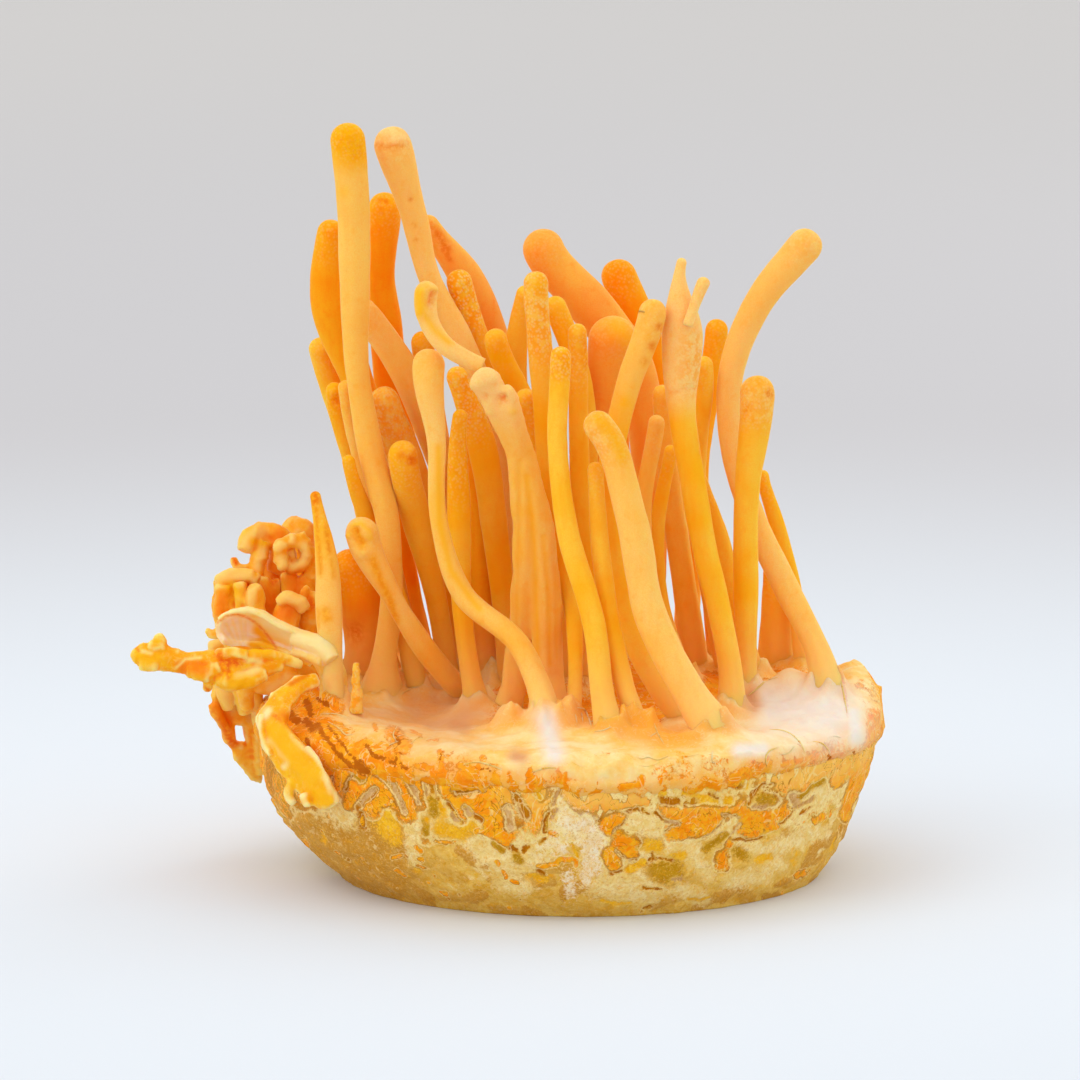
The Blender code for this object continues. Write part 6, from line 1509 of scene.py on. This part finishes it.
def cake_side():
    """Rows of points up the cake's side, the angle and heading of each column, and how far up the side each row
    lies."""
    tree, solid = tree_of("rice_cake")
    top = solid[:, 2].max()
    angle, heading = directions(CAKE_SIDES)
    heights = np.linspace(0.02, top - 0.02, CAKE_ROWS)
    radius = np.empty((CAKE_ROWS, CAKE_SIDES))
    for row, z in enumerate(heights):
        lean = CAKE_LEAN * min(1.0, z / 8.0)
        radius[row] = [reach_at(tree, toward, z, lean) for toward in heading]
    radius = evened(radius, 40)
    lean = CAKE_LEAN * np.minimum(1.0, heights / 8.0)
    flat = np.stack([lean[:, None] + heading[None, :, 0] * radius, heading[None, :, 1] * radius], axis=-1)
    points = np.concatenate([flat, np.broadcast_to(heights[:, None, None], flat.shape[:2] + (1,))], axis=-1)
    climb = np.concatenate([[0.0], np.cumsum(np.hypot(np.diff(heights), np.diff(radius.mean(axis=1))))])
    return points, angle, heading, climb


def cake_grains(points, angle, climb, seed):
    """How near each place is to a grain and to a slit, in their half widths, and the grain's tone."""
    around = math.tau * GIRTH_RADIUS
    u = (angle * GIRTH_RADIUS)[None, :] % around + 0.5 * rough(points, 2.6, seed + 1, 2)
    v = climb[:, None] + 0.5 * rough(points + 50.0, 2.6, seed + 2, 2)
    grains = scattered_grains(around, -1.0, climb[-1] + 1.0, GRAIN_SPACING, GRAIN_LENGTH, GRAIN_WIDTH, 0.45, seed,
                              MOST_GRAINS)
    slits = scattered_grains(around, climb[-1] - 11.0, climb[-1] - 2.5, SLIT_SPACING, SLIT_LENGTH, SLIT_WIDTH, 0.8,
                             seed + 1, MOST_SLITS)
    nearest, tone = grain_field(u, v, around, grains)
    return nearest, tone, grain_field(u, v, around, slits)[0]


def cake_covers(points, seen, front, nearest, slit, seed):
    """How much of each kind shows at each place of the cake's side."""
    z = points[..., 2]
    crack = 1.0 - ease(np.abs(nearest - 1.25), 0.0, 0.45)
    weights = {kind: np.zeros(z.shape) for kind in KINDS}
    weights["khaki"] += 1.0

    def lay(kind, cover):
        for other in weights:
            weights[other] = weights[other] * (1.0 - cover)
        weights[kind] = weights[kind] + cover

    veined = rough(points, 2.2, seed + 9, 3)
    scarce = 1.0 - 0.65 * ease(-seen[..., 0], 8.0, 20.0) * front
    lay("cream", ease(veined + 0.55 * crack + 0.05 * (z - 8.0), 0.3, 0.95) * ease(z, 1.0, 5.0) * scarce)
    lay("yellow", 0.9 * ease(rough(points, 3.0, seed + 10, 3), 0.35, 0.9) * ease(z, 2.0, 6.0))
    lay("orange", 0.95 * ease(rough(points, 1.3, seed + 12, 2), 0.72, 1.1))
    band = z + 2.6 * rough(points, 5.0, seed + 3, 3)
    lay("orange", ease(band, 10.0, 12.2) * (1.0 - 0.55 * front))
    away = 1.0 - front
    lay("brown", np.clip(1.5 - slit, 0.0, 1.0) * away * ease(band, 9.0, 11.0))
    lay("core", np.clip(1.1 - slit * 1.6, 0.0, 1.0) * away * ease(band, 9.0, 11.0))
    bent = seen + 0.2 * np.stack([rough(points, 0.9, seed + 13, 2), rough(points + 30.0, 0.9, seed + 14, 2)],
                                 axis=-1)
    for kind, half_width, *line in CAKE_MARKS:
        cover = covered_by(bent, half_width, line)
        if kind in ("brown", "core"):
            lay("cream", 0.55 * covered_by(bent, half_width + 0.2, line) * front)
        if kind == "white":
            cover = 0.78 * np.exp(-(from_line(bent, line) / half_width) ** 2)
        lay(kind, cover * front)

    tongues = ease(over_felt_end(seen) / 3.4 + 0.1 - torn(points), -0.08, 0.2) * front * ease(z, 6.0, 9.0)
    lay("orange", 0.8 * tongues * ease(-seen[..., 0], 4.0, 10.0))
    lay("cream", 0.8 * tongues * ease(seen[..., 0], -8.0, 0.0))
    return weights


def build_cake(seed):
    """The cake's side with its grains, slits and stains, its flat base, and what lies under the felt."""
    points, angle, heading, climb = cake_side()
    seen = on_sheet(points)
    z = points[..., 2]
    front = ease(-points[..., 1], 3.0, 9.0)
    nearest, tone, slit = cake_grains(points, angle, climb, seed)
    weights = cake_covers(points, seen, front, nearest, slit, seed)
    bulge = np.sqrt(np.clip(1.0 - (nearest / 1.3) ** 2, 0.0, 1.0))
    push = (0.28 * bulge * weights["khaki"] + 0.18 * weights["orange"] + 0.12 * weights["white"]
            + 0.15 * weights["cream"] - 0.3 * weights["brown"] - 0.2 * weights["core"] + 0.1 * weights["olive"])
    push = push + 0.22 * rough(points, 2.0, seed + 11, 3)
    fade = ease(z, 0.0, 1.2)
    points[..., :2] += heading[None] * (push * (0.35 + 0.65 * fade))[..., None]
    traits = np.stack([weights[kind] for kind in ("orange", "brown", "core", "cream")], axis=-1)
    # Darker ochre: the grains' own tone, and on the left of the front partly painted shade.
    grain_tone_and_left_shade = np.maximum(tone * (nearest < 1.25), ease(-seen[..., 0], 12.0, 28.0) * front)
    tints = np.stack([weights["yellow"], weights["white"], weights["olive"], grain_tone_and_left_shade], axis=-1)

    rows = [points]
    for step in np.linspace(0.0, 1.0, CAKE_TOP_ROWS + 1)[1:]:
        ring = points[-1].copy()
        ring[:, :2] = MIDDLE + (ring[:, :2] - MIDDLE) * (1.0 - 0.2 * step)
        rows.append(ring[None])
    bottom = points[0].copy()
    bottom[:, 2] = 0.0
    bottom[:, :2] *= 0.992
    rows.insert(0, bottom[None])
    whole = np.concatenate(rows)
    traits, tints = (np.concatenate([values[:1], values, np.repeat(values[-1:], CAKE_TOP_ROWS, axis=0)])
                     for values in (traits, tints))
    faces = [face[::-1] for face in tube_faces(len(whole), CAKE_SIDES)]
    faces.append(tuple(range(CAKE_SIDES))[::-1])
    faces.append(tuple((len(whole) - 1) * CAKE_SIDES + side for side in range(CAKE_SIDES)))
    return new_piece("rice_cake_film", whole.reshape(-1, 3), faces, traits.reshape(-1, 4), RICE, "rice_cake",
                     tints=tints.reshape(-1, 4))


# ---------------------------------------------------------------- all pieces

for place, node in enumerate(sorted(frame["nodes"])):
    if node.startswith("finger_") and node != FUSED_FINGER:
        build_finger(node, 11 + place, FLESH_OF_SLOT[SLOT_OF_NODE[node]], node not in FLOATING_FINGERS)
build_fused(5)
for place, node in enumerate(("lobe_curled_crest", "lobe_curled_ring", "lobe_pale_knob", "lobe_left_hood",
                              "lobe_middle_fold")):
    build_lobe(node, 0.26, 3, CURLED_FLESH, 70 + place * 5, 0.5, 2.6)
build_lobe("lobe_antler", 0.22, 3, GLOSSY_FLESH, 101, 0.35, 2.2)
build_lobe("lobe_ear", 0.2, 3, EAR_FLESH, 111, 0.1, 1.6)
build_lobe("lobe_hanging_leaf", 0.24, 3, LEAF_FLESH, 121, 0.25, 2.4)
build_lobe("lobe_back_fringe", 0.26, 2, CURLED_FLESH, 131, 0.45, 2.6)
felt_piece = build_felt(7)
build_threads(felt_piece)
build_small_spine(felt_piece, 93)
build_cake(3)


# ---------------------------------------------------------------- floor, light, camera

FLOOR_RADIUS = 4.0


def build_floor():
    """The pale board the bunch stands on, wide enough to pass for a room."""
    bpy.ops.mesh.primitive_circle_add(vertices=96, radius=FLOOR_RADIUS, fill_type="NGON")
    floor = bpy.context.object
    floor.name = "studio_floor"
    material, tree, shader = new_material("matt_pale_board")
    where = add(tree, "TexCoord").outputs["Object"]
    away = add(tree, "VectorMath", {0: where}, operation="LENGTH").outputs["Value"]
    # Painted light: the board is painted lighter and bluer near the bunch and greyer farther off.
    colour = blended(tree, spread(tree, away, 0.02, 0.5), "E0E7ED", "C2C0C1")
    colour = laid_over(tree, colour, spread(tree, away, 0.45, 1.9), "CDCAC7")
    tree.links.new(colour, shader.inputs["Base Color"])
    shader.inputs["Roughness"].default_value = 0.9
    floor.data.materials.append(material)


def add_softbox(name, place, aim, size, power, colour):
    """A square lamp of soft light, in metres and watts."""
    lamp = bpy.data.lights.new(name, "AREA")
    lamp.shape = "RECTANGLE"
    lamp.size, lamp.size_y = size
    lamp.energy = power
    lamp.color = linear(colour)[:3]
    item = bpy.data.objects.new(name, lamp)
    bpy.context.scene.collection.objects.link(item)
    item.location = place
    item.rotation_euler = (Vector(aim) - Vector(place)).to_track_quat("-Z", "Y").to_euler()


def build_world():
    """Even light from all around."""
    world = bpy.data.worlds.new("bright_room")
    bpy.context.scene.world = world
    world.use_nodes = True
    backdrop = world.node_tree.nodes["Background"]
    backdrop.inputs["Color"].default_value = linear("FAFBFD")
    backdrop.inputs["Strength"].default_value = 1.05


def build_camera():
    """The camera that the sheet is measured with."""
    lens = bpy.data.cameras.new("camera")
    lens.sensor_width = SENSOR_WIDTH
    lens.lens = SENSOR_WIDTH * CAMERA_DISTANCE / PICTURE_WIDTH
    lens.clip_start, lens.clip_end = 0.01, 20.0
    item = bpy.data.objects.new("camera", lens)
    bpy.context.scene.collection.objects.link(item)
    item.location = Vector(EYE) * MM
    item.rotation_euler = (math.pi / 2 - CAMERA_TILT, 0.0, 0.0)
    bpy.context.scene.camera = item


build_floor()
build_world()
add_softbox("window_left", (-0.7, -0.45, 0.8), (0.0, 0.0, 0.05), (0.9, 0.9), 2.6, "FFFFFF")
add_softbox("window_back", (0.75, 0.7, 0.7), (0.0, 0.0, 0.06), (0.8, 0.8), 1.8, "FFFFFF")
build_camera()
bpy.context.scene.view_settings.view_transform = "Standard"
